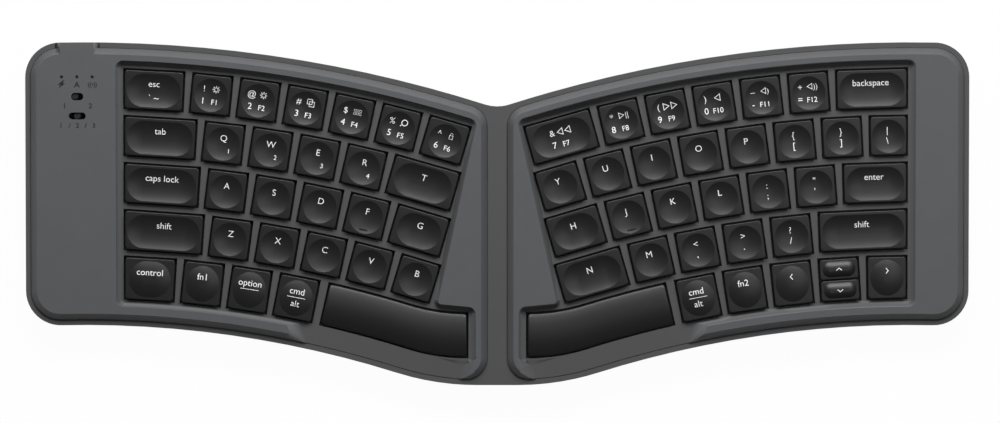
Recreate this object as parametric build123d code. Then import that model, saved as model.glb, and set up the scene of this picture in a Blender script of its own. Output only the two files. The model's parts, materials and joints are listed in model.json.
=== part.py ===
"""Split ergonomic keyboard: one tapered case, two raised key wings, 65 plunger keys on domed sheets.

Millimetres. The origin is on the desk under the middle of the case, +X right, +Y to the rear, +Z up.
Each half is drawn by its distance from the mid-plane, so that one formula serves both halves. The keys,
the wings and all that carries the keys lie on a deck that tilts towards the user. Deck heights are
counted from the floor of the key wells.
"""

from build123d import *
import math
import os

LEFT = -1
RIGHT = 1

# Key caps and the ribs of the wing between them, which set the pitch of the keys and of the rows
CAP_SIZE = 15.25
THUMB_CAP_DEPTH = 16.5
CAP_GAP = 0.75
KEY_RIB = 2.3
ROW_RIB = 2.15
THUMB_ROW_RIB = 1.825
KEY_PITCH = CAP_SIZE + 2 * CAP_GAP + KEY_RIB
ROW_PITCH = CAP_SIZE + 2 * CAP_GAP + ROW_RIB
THUMB_ROW_PITCH = (CAP_SIZE + THUMB_CAP_DEPTH) / 2 + 2 * CAP_GAP + THUMB_ROW_RIB

# The arcs that every row and both long edges follow
ARC_OFFSET = 165.6
NUMBER_ROW_RADIUS = 512.5
ROW_RADII = [NUMBER_ROW_RADIUS - ROW_PITCH * row for row in range(4)]
ROW_RADII.append(ROW_RADII[3] - THUMB_ROW_PITCH)

# The straight outer edge of each half's keys: the thumb row's start on the arc, then its keys outwards
THUMB_START = 94.9
OUTER_THUMB_KEYS = {LEFT: (3, 19.5), RIGHT: (4, 15.2)}
OUTER_EDGE = {
    side: ARC_OFFSET - THUMB_START + (KEY_PITCH - CAP_SIZE) / 2 + count * KEY_PITCH + last
    for side, (count, last) in OUTER_THUMB_KEYS.items()
}

# Case outline
RIGHT_BEZEL = 25.3
CASE_WIDTH = 2 * (OUTER_EDGE[RIGHT] + RIGHT_BEZEL)
CASE_EDGE = CASE_WIDTH / 2
REAR_BEZEL = 18.4
FRONT_BEZEL = 19.1
FRONT_BLEND = 107.0
FRONT_FLAT = 8.2
CASE_CORNER = 13.9
NOTCH_RADIUS = 16.0
RIM_WIDTH = 2.2
SPINE_WIDTH = 8.2
WING_INNER_CORNER = 8.5
REAR_RADIUS = NUMBER_ROW_RADIUS + REAR_BEZEL
FRONT_RADIUS = ROW_RADII[4] - FRONT_BEZEL
FRONT_REACH = FRONT_RADIUS + FRONT_BLEND
FRONT_HEIGHT = math.sqrt(FRONT_REACH**2 - (ARC_OFFSET - FRONT_FLAT) ** 2) - FRONT_BLEND
ARC_Y = -(REAR_RADIUS + FRONT_HEIGHT) / 2

# Deck and its stack of layers, as heights above the floor of the key wells
DECK_TILT = 3.5
DECK_HEIGHT = 17.2
WING_TOP = 3.0
WING_BEVEL = 2.4
RIM_LEVEL = -2.0
SEAM_DEPTH = 0.5
SEAT_GAP = 0.1
SEAM_GAP = 0.15
COVER_BOTTOM = RIM_LEVEL - SEAM_DEPTH
TRAVEL = 2.0
CAP_TOP = 2.0
CAP_SKIRT = -1.0
GUIDE_TOP = CAP_SKIRT - TRAVEL - 0.2
GUIDE_THICKNESS = 1.8
GUIDE_BOTTOM = GUIDE_TOP - GUIDE_THICKNESS
BARB_HEIGHT = 0.9
STEM_BOTTOM = GUIDE_BOTTOM - SEAT_GAP - BARB_HEIGHT
SHEET_TOP = STEM_BOTTOM - TRAVEL - SEAT_GAP
SHEET_THICKNESS = 0.3
DOME_SIZE = 5.6
DOME_CROWN_SIZE = 3.6
STACK_MARGIN = 1.5
HIDDEN_RUN = 40.0
FRAME_LIP = 0.2
MEMBRANE_THICKNESS = 0.4
PLATE_THICKNESS = 0.8
MEMBRANE_TOP = SHEET_TOP - SHEET_THICKNESS - SEAT_GAP
PLATE_TOP = MEMBRANE_TOP - MEMBRANE_THICKNESS - SEAT_GAP
PLATE_BOTTOM = PLATE_TOP - PLATE_THICKNESS

# Key cap details
CAP_WALL = 1.1
CAP_ROOF = 1.4
DISH_SIZE = 12.9
DISH_DEPTH = 0.85
DISH_FLAT = 6.8
DISH_SIDES = 8
HALF_CAP_MARGIN = 2.2
STEM_SIZE = 4.0
STEM_CLEARANCE = 0.15
BARB_REACH = 0.4
HOME_BAR = (3.2, 0.5, 0.5)
HOME_BAR_SINK = 0.7
BAR_INNER_EDGE = 12.3
BAR_OUTER_MARGIN = 2.55
BAR_BLEND = 78.0
BAR_POST_SPACING = 46.0
BAR_SHOULDER = (2.6, 0.9)
HALF_CAP_GAP = 0.6

# Rows from the rear, keys from the middle outwards: where the first cell starts on the arc, then name and
# cell width. The last key of a row runs out to the straight outer edge.
ROW_STARTS = [156.7, 152.5, 148.3, 144.3]
ROWS = {
    LEFT: [
        [("6", 20.0), ("5", 0), ("4", 0), ("3", 0), ("2", 0), ("1", 0), ("esc", None)],
        [("t", 30.0), ("r", 0), ("e", 0), ("w", 0), ("q", 0), ("tab", None)],
        [("g", 24.6), ("f", 0), ("d", 0), ("s", 0), ("a", 0), ("caps_lock", None)],
        [("b", 0), ("v", 0), ("c", 0), ("x", 0), ("z", 0), ("left_shift", None)],
        [("left_command", 0), ("option", 0), ("fn1", 0), ("control", None)],
    ],
    RIGHT: [
        [("7", 30.2), ("8", 0), ("9", 0), ("0", 0), ("minus", 0), ("equals", 0), ("backspace", None)],
        [("y", 20.4), ("u", 0), ("i", 0), ("o", 0), ("p", 0), ("bracket_open", 0), ("bracket_close", 0),
         ("backslash", None)],
        [("h", 24.7), ("j", 0), ("k", 0), ("l", 0), ("semicolon", 0), ("quote", 0), ("enter", None)],
        [("n", 30.1), ("m", 0), ("comma", 0), ("period", 0), ("slash", 0), ("right_shift", None)],
        [("right_command", 0), ("fn2", 0), ("arrow_left", 0), ("arrow_up_down", 0), ("arrow_right", None)],
    ],
}
HOME_KEYS = ("f", "j")

# Keys that share a node, because the object has more keys than it may have nodes
KEY_GROUPS = {
    "left_number_keys": ["1", "2", "3", "4", "5", "6"],
    "right_number_keys": ["7", "8", "9", "0", "minus", "equals"],
    "left_modifier_keys": ["control", "fn1", "option", "left_command"],
    "right_modifier_keys": ["right_command", "fn2"],
    "arrow_keys": ["arrow_left", "arrow_up", "arrow_down", "arrow_right"],
    "punctuation_keys": ["semicolon", "quote", "comma", "period", "slash"],
    "bracket_keys": ["bracket_open", "bracket_close", "backslash"],
}

# Key well in each wing
WELL_REAR_MARGIN = 1.2
WELL_FRONT_MARGIN = 1.25
WELL_SIDE_MARGIN = 1.75
WELL_SLOPE = 33.0
WELL_INNER_EDGE = 10.6
WEDGE_LEAN = 12.2
WEDGE_TIP = (26.3, -37.8)
WEDGE_STEP = 1.5
WELL_CORNER = 1.0
WELL_FRONT_CORNER = 1.0
WEDGE_TIP_CORNER = 3.2
RELIEF_OUTER = 80.0
RELIEF_INNER = 14.0
RELIEF_SLOPE = 60.0
RELIEF_SKEWS = (-8.0, 8.0)
RELIEF_REACH = 12.0

# Wing shells
COVER_SKIN = 1.8
BOSS_SIZE = 6.6
SCREW_RADIUS = 1.1
SCREW_CLEARANCE = 0.1
SCREW_SINK = 0.3
SCREW_HEAD_RADIUS = 2.1
SCREW_HEAD_HEIGHT = 1.4
SCREW_BITE = 2.2
SCREW_TIP_GAP = 0.4
SCREW_SPOTS = [(CASE_EDGE - 15.3, -32.0), (CASE_EDGE - 7.8, 30.0), (14.0, -22.0)]
SMALL_ROUND_SIDES = 6
POCKET_INNER_GAP = 6.75
POCKET_OUTER_GAP = 12.3
POCKET_Y = (-24.0, 34.0)

# Case tub
BASE_BOTTOM = 0.8
BASE_FLOOR = 1.5
BASE_WALL = 2.2
BASE_EDGE_CHAMFER = 2.0
LEDGE_WIDTH = 1.5
LEDGE_THICKNESS = 1.6
POST_SIZE = 6.0
POST_SINK = 0.5
PLATE_POSTS = [(138.0, -24.0), (45.0, 28.0), (60.0, -36.0), (26.0, -44.0)]
CABLE_WINDOW = (16.0, 2.4)
SPINE_END_GAPS = (4.0, 6.0)

# Charging port and controls in the left wing
PORT_X = CASE_EDGE - 20.9
PORT_OPENING = (9.6, 3.8)
SOCKET_SIZE = (8.94, 7.4, 3.2)
SOCKET_CORNER = 1.0
SOCKET_SHELL = 0.3
TONGUE_SIZE = (6.6, 0.7, 6.2)
PORT_CENTRE = COVER_BOTTOM - 0.5 - PORT_OPENING[1] / 2
BUMP_WIDTH = 17.5
BUMP_TOP_WIDTH = 13.4
BUMP_FRONT = 58.0
BOARD_TOP = PORT_CENTRE - SOCKET_SIZE[2] / 2 - SEAT_GAP
BOARD_THICKNESS = 1.2
BOARD_X = (OUTER_EDGE[LEFT] + 7.25, CASE_EDGE - 13.8)
BOARD_Y = (-14.0, 60.0)
BOARD_POST = 4.0
LIGHTS_Y = 55.1
LIGHT_PITCH = 6.15
LIGHT_RADIUS = 0.6
LIGHT_CLEARANCE = 0.1
LIGHT_SINK = 0.05
SWITCH_X = CASE_EDGE - 21.0
SWITCHES = {"system_switch_slider": (47.2, 4.9, 3.1), "link_switch_slider": (39.4, 6.8, 2.9)}
SLOT_SIDES = 16
KNOB_SIZE = (2.7, 2.3)
KNOB_CORNER = 0.7
KNOB_TOP = WING_TOP - 0.7
SWITCH_TRAVEL = {"system_switch_slider": 1.9, "link_switch_slider": 3.8}
SWITCH_HOUSING = (8.6, 4.4, 2.4)
SWITCH_PLATE = (4.2, 3.0, 0.8)
CHIPS = [(PORT_X - 3.4, 22.0, 7.0, 7.0, 1.0), (PORT_X + 1.6, 6.0, 5.0, 9.0, 1.2)]

# Battery, ribbon cable and what touches the desk
BATTERY = (62.0, 34.0)
BATTERY_CLEARANCE = 0.12
BATTERY_SPOT = (83.0, 23.0)
BATTERY_CORNER = 3.0
RIBBON_WIDTH = 12.0
RIBBON_THICKNESS = 0.4
RIBBON_Y = 6.0
RIBBON_ENDS = (-160.0, 34.0)
PAD_LENGTH = 26.0
PAD_WIDTH = 8.0
PAD_CLEARANCE = 0.15
PAD_RECESS = 0.7
PAD_SPOTS = [
    (CASE_EDGE - 37.3, -34.0, 0.0), (30.0, -51.0, 16.0), (CASE_EDGE - 25.3, 28.0, 0.0), (26.0, 30.0, -16.0),
]
FOOT_LENGTH = 17.0
FOOT_WIDTH = 26.0
FOOT_THICKNESS = 3.4
FOOT_GRIP = (13.0, 2.4, 1.6)
FOOT_CLEARANCE = 0.4
FOOT_PIN_RADIUS = 1.3
FOOT_PIN_LENGTH = 1.8
FOOT_PIN_CLEARANCE = 0.08
FOOT_PIN_SIDES = 8
FOOT_HINGE = (CASE_EDGE - 57.3, 57.0)
FOOT_RAISE = 0.3
POCKET_WALL = 2.0

BIG = 600.0


def deck_place():
    """The deck's place in the case: tilted about the X axis, rear end up."""
    return Pos(0, 0, DECK_HEIGHT) * Rot(DECK_TILT, 0, 0)


def below_deck(level):
    """Everything under a deck height, for trimming upright walls to the tilted deck."""
    return deck_place() * Pos(0, 0, level - BIG / 2) * Box(BIG, BIG, BIG)


def slab(face, bottom, top):
    """A face of the XY plane drawn out between two heights."""
    return Pos(0, 0, bottom) * extrude(face, top - bottom)


def ring_point(side, radius, angle):
    """A point on the half's arc, by its angle from straight back. Angles grow towards the middle."""
    return (side * (ARC_OFFSET - radius * math.sin(angle)), ARC_Y + radius * math.cos(angle))


def ring_angle(radius, offset):
    """The angle at which an arc of the half is at a distance from the mid-plane."""
    return math.asin((ARC_OFFSET - offset) / radius)


def unit(x, y):
    """The direction of a vector."""
    size = math.hypot(x, y)
    return (x / size, y / size)


def heading(start, end, centre, at):
    """Which way a side of an outline runs at one of its points."""
    if centre is None:
        return unit(end[0] - start[0], end[1] - start[1])
    turn = counter_clockwise(start, end, centre)
    return unit(-turn * (at[1] - centre[1]), turn * (at[0] - centre[0]))


def counter_clockwise(start, end, centre):
    """1 for an arc that runs counter-clockwise about its centre, and -1 for the other way."""
    ax, ay = start[0] - centre[0], start[1] - centre[1]
    bx, by = end[0] - centre[0], end[1] - centre[1]
    return 1 if ax * by - ay * bx > 0 else -1


def moved_side(start, end, centre, shift):
    """A side moved to its left: as a point and direction, or as a centre and radius."""
    if centre is None:
        dx, dy = heading(start, end, None, start)
        return ("line", (start[0] - shift * dy, start[1] + shift * dx), (dx, dy))
    radius = math.dist(start, centre)
    return ("circle", centre, radius - shift * counter_clockwise(start, end, centre))


def crossings(first, second):
    """The points that two moved sides share."""
    if first[0] == "circle" and second[0] == "line":
        first, second = second, first
    if second[0] == "line":
        (px, py), (dx, dy) = first[1:]
        (qx, qy), (ex, ey) = second[1:]
        along = ((qx - px) * ey - (qy - py) * ex) / (dx * ey - dy * ex)
        return [(px + along * dx, py + along * dy)]
    cx, cy = second[1]
    radius = second[2]
    if first[0] == "line":
        (px, py), (dx, dy) = first[1:]
        along = (cx - px) * dx + (cy - py) * dy
        foot = (px + along * dx, py + along * dy)
        half = math.sqrt(radius**2 - math.dist(foot, (cx, cy)) ** 2)
        return [(foot[0] + sign * half * dx, foot[1] + sign * half * dy) for sign in (-1, 1)]
    ax, ay = first[1]
    apart = math.dist(first[1], second[1])
    along = (first[2] ** 2 - radius**2 + apart**2) / (2 * apart)
    half = math.sqrt(first[2] ** 2 - along**2)
    ux, uy = unit(cx - ax, cy - ay)
    foot = (ax + along * ux, ay + along * uy)
    return [(foot[0] - sign * half * uy, foot[1] + sign * half * ux) for sign in (-1, 1)]


def touch_point(side, centre):
    """Where a corner's arc, given by its centre, meets an unmoved side."""
    if side[0] == "line":
        (px, py), (dx, dy) = side[1:]
        along = (centre[0] - px) * dx + (centre[1] - py) * dy
        return (px + along * dx, py + along * dy)
    ux, uy = unit(centre[0] - side[1][0], centre[1] - side[1][1])
    return (side[1][0] + side[2] * ux, side[1][1] + side[2] * uy)


def middle_of(start, end, centre):
    """The middle of the shorter arc between two points about a centre."""
    radius = math.dist(start, centre)
    ux, uy = unit(start[0] + end[0] - 2 * centre[0], start[1] + end[1] - 2 * centre[1])
    return (centre[0] + radius * ux, centre[1] + radius * uy)


def rounded_outline(corners, centres, hidden=False):
    """The face inside a closed run of sides.

    Each corner is a point and its rounding. The side after a corner is straight where its centre is None,
    and otherwise an arc about that centre. A hidden outline has straight cuts for its convex corners and
    straight runs for its arcs.
    """
    count = len(corners)
    starts = []
    ends = []
    roundings = []
    for i, (point, radius) in enumerate(corners):
        before = (corners[i - 1][0], point, centres[i - 1])
        after = (point, corners[(i + 1) % count][0], centres[i])
        if radius == 0:
            ends.append(point)
            starts.append(point)
            continue
        ax, ay = heading(*before, point)
        bx, by = heading(*after, point)
        shift = radius if ax * by - ay * bx > 0 else -radius
        found = crossings(moved_side(*before, shift), moved_side(*after, shift))
        centre = min(found, key=lambda spot: math.dist(spot, point))
        ends.append(touch_point(moved_side(*before, 0.0), centre))
        starts.append(touch_point(moved_side(*after, 0.0), centre))
        if hidden:
            roundings.append(Line(ends[-1], starts[-1]))
        else:
            roundings.append(ThreePointArc(ends[-1], middle_of(ends[-1], starts[-1], centre), starts[-1]))
    sides = []
    for i, centre in enumerate(centres):
        start, end = starts[i], ends[(i + 1) % count]
        if centre is None:
            sides.append(Line(start, end))
        elif hidden:
            sides.extend(straight_runs(start, end, centre))
        else:
            sides.append(ThreePointArc(start, middle_of(start, end, centre), end))
    return make_face(Curve() + (sides + roundings))


def straight_runs(start, end, centre):
    """An arc as straight runs, each near a key pitch long."""
    radius = math.dist(start, centre)
    first = math.atan2(start[1] - centre[1], start[0] - centre[0])
    sweep = 2 * math.asin(math.dist(start, end) / (2 * radius)) * counter_clockwise(start, end, centre)
    count = max(1, round(radius * abs(sweep) / HIDDEN_RUN))
    points = [start]
    for step in range(1, count):
        turn = first + sweep * step / count
        points.append((centre[0] + radius * math.cos(turn), centre[1] + radius * math.sin(turn)))
    points.append(end)
    return [Line(before, after) for before, after in zip(points, points[1:])]


def arc_centre(side):
    """The centre that the rows and the long edges of one half share."""
    return (side * ARC_OFFSET, ARC_Y)


def front_wave(side, radius, blend, flat):
    """Where a front edge leaves the half's arc for its counter arc, where that ends level, and its centre."""
    meet = math.asin((ARC_OFFSET - flat) / (radius + blend))
    centre = (side * flat, ARC_Y + (radius + blend) * math.cos(meet))
    return ring_point(side, radius, meet), (side * flat, centre[1] - blend), centre


def half_run(side, inset, inner):
    """The corners of one half of the case, drawn in by an inset, from its rear inner end round to the front."""
    rear = REAR_RADIUS - inset
    front = FRONT_RADIUS + inset
    outer = CASE_EDGE - inset
    meet, level, counter = front_wave(side, front, FRONT_BLEND - inset, FRONT_FLAT)
    points = {
        "rear_inner": ring_point(side, rear, ring_angle(rear, inner)),
        "rear_outer": ring_point(side, rear, ring_angle(rear, outer)),
        "front_outer": ring_point(side, front, ring_angle(front, outer)),
        "meet": meet,
        "level": level,
        "front_inner": (side * inner, level[1]),
    }
    return points, counter


def case_outline(inset, hidden=False):
    """The outline of the whole case, with the rounded notch at the rear between the halves."""
    right, right_counter = half_run(RIGHT, inset, 0.0)
    left, left_counter = half_run(LEFT, inset, 0.0)
    corner = CASE_CORNER - inset
    corners = [
        (right["rear_inner"], NOTCH_RADIUS + inset),
        (left["rear_outer"], corner),
        (left["front_outer"], corner),
        (left["meet"], 0),
        (left["level"], 0),
        (right["level"], 0),
        (right["meet"], 0),
        (right["front_outer"], corner),
        (right["rear_outer"], corner),
    ]
    left_arc, right_arc = arc_centre(LEFT), arc_centre(RIGHT)
    centres = [
        left_arc, None, left_arc, left_counter, None, right_counter, right_arc, None, right_arc,
    ]
    return rounded_outline(corners, centres, hidden)


def wing_outline(side, inset, hidden=False):
    """The outline of a raised wing, drawn in by an inset from its visible edge."""
    points, counter = half_run(side, RIM_WIDTH + inset, SPINE_WIDTH / 2 + inset)
    spine = ("line", points["front_inner"], (0.0, 1.0))
    counter_arc = ("circle", counter, FRONT_BLEND - RIM_WIDTH - inset)
    front_inner = min(crossings(spine, counter_arc), key=lambda spot: spot[1])
    outer_corner = CASE_CORNER - RIM_WIDTH - inset
    inner_corner = WING_INNER_CORNER - inset
    corners = [
        (points["rear_inner"], inner_corner),
        (points["rear_outer"], outer_corner),
        (points["front_outer"], outer_corner),
        (points["meet"], 0),
        (front_inner, inner_corner),
    ]
    arc = arc_centre(side)
    return rounded_outline(corners, [arc, None, arc, counter, None], hidden)


def well_outline(side, grow, rounded=True):
    """The floor of a wing's key well, grown outwards. The hidden layers below it have sharp corners."""
    rear = ROW_RADII[0] + CAP_SIZE / 2 + CAP_GAP + WELL_REAR_MARGIN + grow
    front = ROW_RADII[4] - THUMB_CAP_DEPTH / 2 - WELL_FRONT_MARGIN - grow
    outer = OUTER_EDGE[side] + WELL_SIDE_MARGIN + grow
    lean = math.radians(WEDGE_LEAN)
    tip_y = WEDGE_TIP[1] + grow
    tip_x = WEDGE_TIP[0] - grow / math.cos(lean) + grow * math.tan(lean)
    foot = ((side * tip_x), tip_y)
    slant = ("line", foot, (-side * math.sin(lean), math.cos(lean)))
    rear_inner = max(crossings(slant, ("circle", arc_centre(side), rear)), key=lambda spot: spot[1])
    meet, level, counter = front_wave(side, front, BAR_BLEND + WELL_FRONT_MARGIN + grow, BAR_INNER_EDGE)
    inner = side * (WELL_INNER_EDGE - grow)
    corner = WELL_CORNER + grow if rounded else 0
    corners = [
        (rear_inner, corner),
        (ring_point(side, rear, ring_angle(rear, outer)), corner),
        (ring_point(side, front, ring_angle(front, outer)), corner),
        (meet, 0),
        (level, 0),
        ((inner, level[1]), WELL_FRONT_CORNER + grow if rounded else 0),
        ((inner, tip_y - WEDGE_STEP), corner),
        (foot, WEDGE_TIP_CORNER - grow if rounded else 0),
    ]
    arc = arc_centre(side)
    return rounded_outline(corners, [arc, None, arc, counter, None, None, None, None], not rounded)


class Key:
    """One key: its outline on the deck, its centre and the turn of its own axes."""

    def __init__(self, name, side, row, start, width, depth, rise=0.0):
        radius = ROW_RADII[row]
        self.name = name
        self.side = side
        self.row = row
        self.depth = depth
        self.outer = width is None
        margin = (KEY_PITCH - CAP_SIZE) / 2
        self.inner = start - margin
        edge = ARC_OFFSET - OUTER_EDGE[side] if self.outer else start - (width or KEY_PITCH) + margin
        self.width = self.inner - edge
        self.angle = (self.inner + edge) / 2 / radius
        self.across = (-side * math.cos(self.angle), -math.sin(self.angle))
        self.back = (-side * math.sin(self.angle), math.cos(self.angle))
        self.centre = ring_point(side, radius + rise, self.angle)
        self.turn = side * math.degrees(self.angle)

    def spot(self, along, back):
        """A point of the deck from a place on the key: towards the middle, and back."""
        x = self.centre[0] + along * self.across[0] + back * self.back[0]
        y = self.centre[1] + along * self.across[1] + back * self.back[1]
        return (x, y)

    def reach(self, back, grow):
        """How far out the key goes from its centre at a place front to back."""
        if not self.outer:
            return -self.width / 2 - grow
        edge = self.side * (OUTER_EDGE[self.side] + grow)
        return (edge - self.centre[0] - back * self.back[0]) / self.across[0]

    def outline(self, grow):
        """The key's four-sided face, grown outwards."""
        half = self.depth / 2 + grow
        inner = self.width / 2 + grow
        points = [
            self.spot(inner, half),
            self.spot(inner, -half),
            self.spot(self.reach(-half, grow), -half),
            self.spot(self.reach(half, grow), half),
        ]
        return many_sided(points)

    def place(self):
        """The place of the key's centre on the deck."""
        return Pos(*self.centre, 0) * Rot(0, 0, self.turn)


def keys_of(side):
    """The keys of one half except its space bar."""
    found = []
    for row, names in enumerate(ROWS[side]):
        start = ROW_STARTS[row] if row < 4 else THUMB_START
        depth = CAP_SIZE if row < 4 else THUMB_CAP_DEPTH
        for name, width in names:
            if name == "arrow_up_down":
                half = (depth - HALF_CAP_GAP) / 2
                shift = (half + HALF_CAP_GAP) / 2
                found.append(Key("arrow_up", side, row, start, width, half, shift))
                found.append(Key("arrow_down", side, row, start, width, half, -shift))
            else:
                found.append(Key(name, side, row, start, width, depth))
            if width is not None:
                start -= width or KEY_PITCH
    return found


def bar_outline(side, grow):
    """A space bar's face: it follows the row, then levels out at its inner end."""
    end_angle = (THUMB_START + BAR_OUTER_MARGIN - grow) / ROW_RADII[4]
    inner = ("line", (side * (BAR_INNER_EDGE - grow), 0.0), (0.0, 1.0))
    arc = arc_centre(side)
    corners = []
    centres = []
    for reach, blend in ((THUMB_CAP_DEPTH / 2 + grow, BAR_BLEND - grow),
                         (-THUMB_CAP_DEPTH / 2 - grow, BAR_BLEND + grow)):
        radius = ROW_RADII[4] + reach
        meet, _, counter = front_wave(side, radius, blend, BAR_INNER_EDGE)
        end = min(crossings(inner, ("circle", counter, blend)), key=lambda spot: spot[1])
        corners.append([(end, 0), (meet, 0), (ring_point(side, radius, end_angle), 0)])
        centres.append([counter, arc])
    rear, front = corners
    return rounded_outline(rear + front[::-1], centres[0] + [None] + centres[1][::-1] + [None])


def bar_spots(side):
    """Where a space bar's stem and its two guide posts stand: in the middle and towards both ends."""
    angle = (THUMB_START + BAR_OUTER_MARGIN) / ROW_RADII[4]
    outer = ARC_OFFSET - ROW_RADII[4] * math.sin(angle)
    middle = (outer + BAR_INNER_EDGE) / 2
    spots = []
    for shift in (-BAR_POST_SPACING / 2, 0.0, BAR_POST_SPACING / 2):
        at = middle + shift
        turn = ring_angle(ROW_RADII[4], at)
        spots.append(Pos(*ring_point(side, ROW_RADII[4], turn), 0) * Rot(0, 0, side * math.degrees(turn)))
    return spots


def pill(length, size, sides):
    """The corners of a many-sided disc or, for a longer length, of the same stretched to a rounded bar."""
    reach = max(length - size, 0.0) / 2
    half = sides // 2
    points = []
    for step in range(half):
        turn = math.pi * (step + 0.5) / half - math.pi / 2
        points.append((reach + size / 2 * math.cos(turn), size / 2 * math.sin(turn)))
    return points + [(-x, -y) for x, y in points]


def square(size):
    """The corners of a square."""
    half = size / 2
    return [(half, -half), (half, half), (-half, half), (-half, -half)]


def many_sided(points):
    """The face inside a run of corners."""
    return make_face(Polyline(*points, close=True))


def frustum(first, second, first_height, second_height):
    """A solid with flat sides between two runs of corners, one above the other."""
    near = [(x, y, first_height) for x, y in first]
    far = [(x, y, second_height) for x, y in second]
    sides = [[near[i - 1], near[i], far[i], far[i - 1]] for i in range(len(near))]
    faces = [Face(Wire.make_polygon(points)) for points in [near, far] + sides]
    return Solid(Shell(faces))


def stem(top):
    """The square plunger under a cap, with the barb at its front that keeps it in its guide."""
    half = STEM_SIZE / 2
    profile = [
        (half, top), (half, STEM_BOTTOM), (-half, STEM_BOTTOM),
        (-half - BARB_REACH, STEM_BOTTOM + BARB_HEIGHT), (-half, STEM_BOTTOM + BARB_HEIGHT), (-half, top),
    ]
    return extrude(Plane.YZ * many_sided(profile), half, both=True)


def crowned(body, key, raised):
    """The cap with its dish, or on the thumb row its dome."""
    length = key.width - (CAP_SIZE - DISH_SIZE)
    size = min(DISH_SIZE, key.depth - HALF_CAP_MARGIN)
    shrink = (DISH_SIZE - DISH_FLAT) * size / DISH_SIZE
    height = CAP_TOP + DISH_DEPTH * (1 if raised else -1)
    edge = pill(length, size, DISH_SIDES)
    flat = pill(length - shrink, size - shrink, DISH_SIDES)
    form = key.place() * frustum(edge, flat, CAP_TOP, height)
    return body + form if raised else body - form


def cap(key):
    """A hollow cap with its stem."""
    body = slab(key.outline(0.0), CAP_SKIRT, CAP_TOP)
    body -= slab(key.outline(-CAP_WALL), CAP_SKIRT, CAP_TOP - CAP_ROOF)
    body = crowned(body, key, key.row == 4)
    body += key.place() * stem(CAP_TOP - CAP_ROOF)
    if key.name in HOME_KEYS:
        front = -(DISH_SIZE + DISH_FLAT) / 4
        body += key.place() * Pos(0, front, CAP_TOP - HOME_BAR_SINK) * Box(*HOME_BAR)
    return body


def space_bar(side):
    """A space bar: sloped along its long edges, hollow, with a stem and two guide posts."""
    body = slab(bar_outline(side, 0.0), CAP_SKIRT, CAP_TOP)
    top = body.faces().sort_by(Axis.Z)[-1]
    long_edges = top.edges().sort_by(SortBy.LENGTH)[-4:]
    body = chamfer(long_edges, *BAR_SHOULDER, reference=top)
    body -= slab(bar_outline(side, -CAP_WALL), CAP_SKIRT, CAP_TOP - CAP_ROOF)
    for spot in bar_spots(side):
        body += spot * stem(CAP_TOP - CAP_ROOF)
    return body


def aperture(key):
    """The opening in the well floor that a cap passes through."""
    return slab(key.outline(CAP_GAP), COVER_BOTTOM - 1, 1)


def screw_spots(side):
    """Where the case screws of one wing stand."""
    return [Pos(side * x, y, 0) for x, y in SCREW_SPOTS]


def small_round(radius):
    """A small round drawn with few sides, for screws and light pipes."""
    return RegularPolygon(radius, SMALL_ROUND_SIDES)


def cover(side, keys):
    """A wing: bevelled shell, sloped key well with its apertures, hollow under the bezel."""
    body = slab(wing_outline(side, 0.0), COVER_BOTTOM, WING_TOP)
    top = body.faces().sort_by(Axis.Z)[-1]
    body = chamfer(top.outer_wire().edges(), WING_BEVEL)
    if side == LEFT:
        body += port_bump()
    body -= extrude(well_outline(side, 0.0), WING_TOP + 1, taper=-WELL_SLOPE)
    body -= thumb_relief(side)
    near = OUTER_EDGE[side] + POCKET_INNER_GAP
    far = CASE_EDGE - POCKET_OUTER_GAP
    front, rear = POCKET_Y
    pocket = Pos(side * (near + far) / 2, (front + rear) / 2) * Rectangle(far - near, rear - front)
    body -= slab(pocket, COVER_BOTTOM, WING_TOP - COVER_SKIN)
    body -= [aperture(key) for key in keys]
    body -= slab(bar_outline(side, CAP_GAP), COVER_BOTTOM - 1, 1)
    to_deck = deck_place().inverse()
    body -= [to_deck * (spot * screw_hole(spot)) for spot in screw_spots(side)]
    if side == LEFT:
        body -= control_openings()
    return body


def thumb_relief(side):
    """The cut that lowers the bezel in front of the space bar to the well floor."""
    rear = []
    front = []
    for x, skew in zip((RELIEF_OUTER, RELIEF_INNER), RELIEF_SKEWS):
        y = ARC_Y + FRONT_RADIUS * math.cos(ring_angle(FRONT_RADIUS, x))
        rear.append((side * x, y + RELIEF_REACH))
        front.append((side * (x + skew), y - RELIEF_REACH))
    return extrude(many_sided(rear + front[::-1]), WING_TOP + 1, taper=-RELIEF_SLOPE)


def port_bump():
    """The raised tongue over the charging port, flush with the rear of the case."""
    height = WING_TOP - RIM_LEVEL - SEAT_GAP
    narrow = (BUMP_WIDTH - BUMP_TOP_WIDTH) / 2
    slope = math.degrees(math.atan(narrow / height))
    rear = ARC_Y + REAR_RADIUS + BUMP_WIDTH
    face = Pos(-PORT_X, (rear + BUMP_FRONT) / 2) * Rectangle(BUMP_WIDTH, rear - BUMP_FRONT)
    tongue = Pos(0, 0, RIM_LEVEL + SEAT_GAP) * extrude(face, height, taper=slope)
    return tongue & slab(case_outline(0.0), RIM_LEVEL, WING_TOP)


def control_openings():
    """The holes in the left wing for the indicator lights and the two slide switches."""
    bottom = COVER_BOTTOM
    holes = [
        Pos(x, LIGHTS_Y, 0) * slab(small_round(LIGHT_RADIUS + LIGHT_CLEARANCE), bottom, WING_TOP + 1)
        for x in light_places()
    ]
    for y, length, width in SWITCHES.values():
        slot = many_sided(pill(length, width, SLOT_SIDES))
        holes.append(Pos(-SWITCH_X, y, 0) * slab(slot, bottom, WING_TOP + 1))
    return holes


def light_places():
    """The three indicator lights' places along X."""
    return [-PORT_X + LIGHT_PITCH * step for step in (-1, 0, 1)]


def stack_outline(side):
    """The outline that the hidden layers under a key well share."""
    return well_outline(side, STACK_MARGIN, rounded=False)


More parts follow.
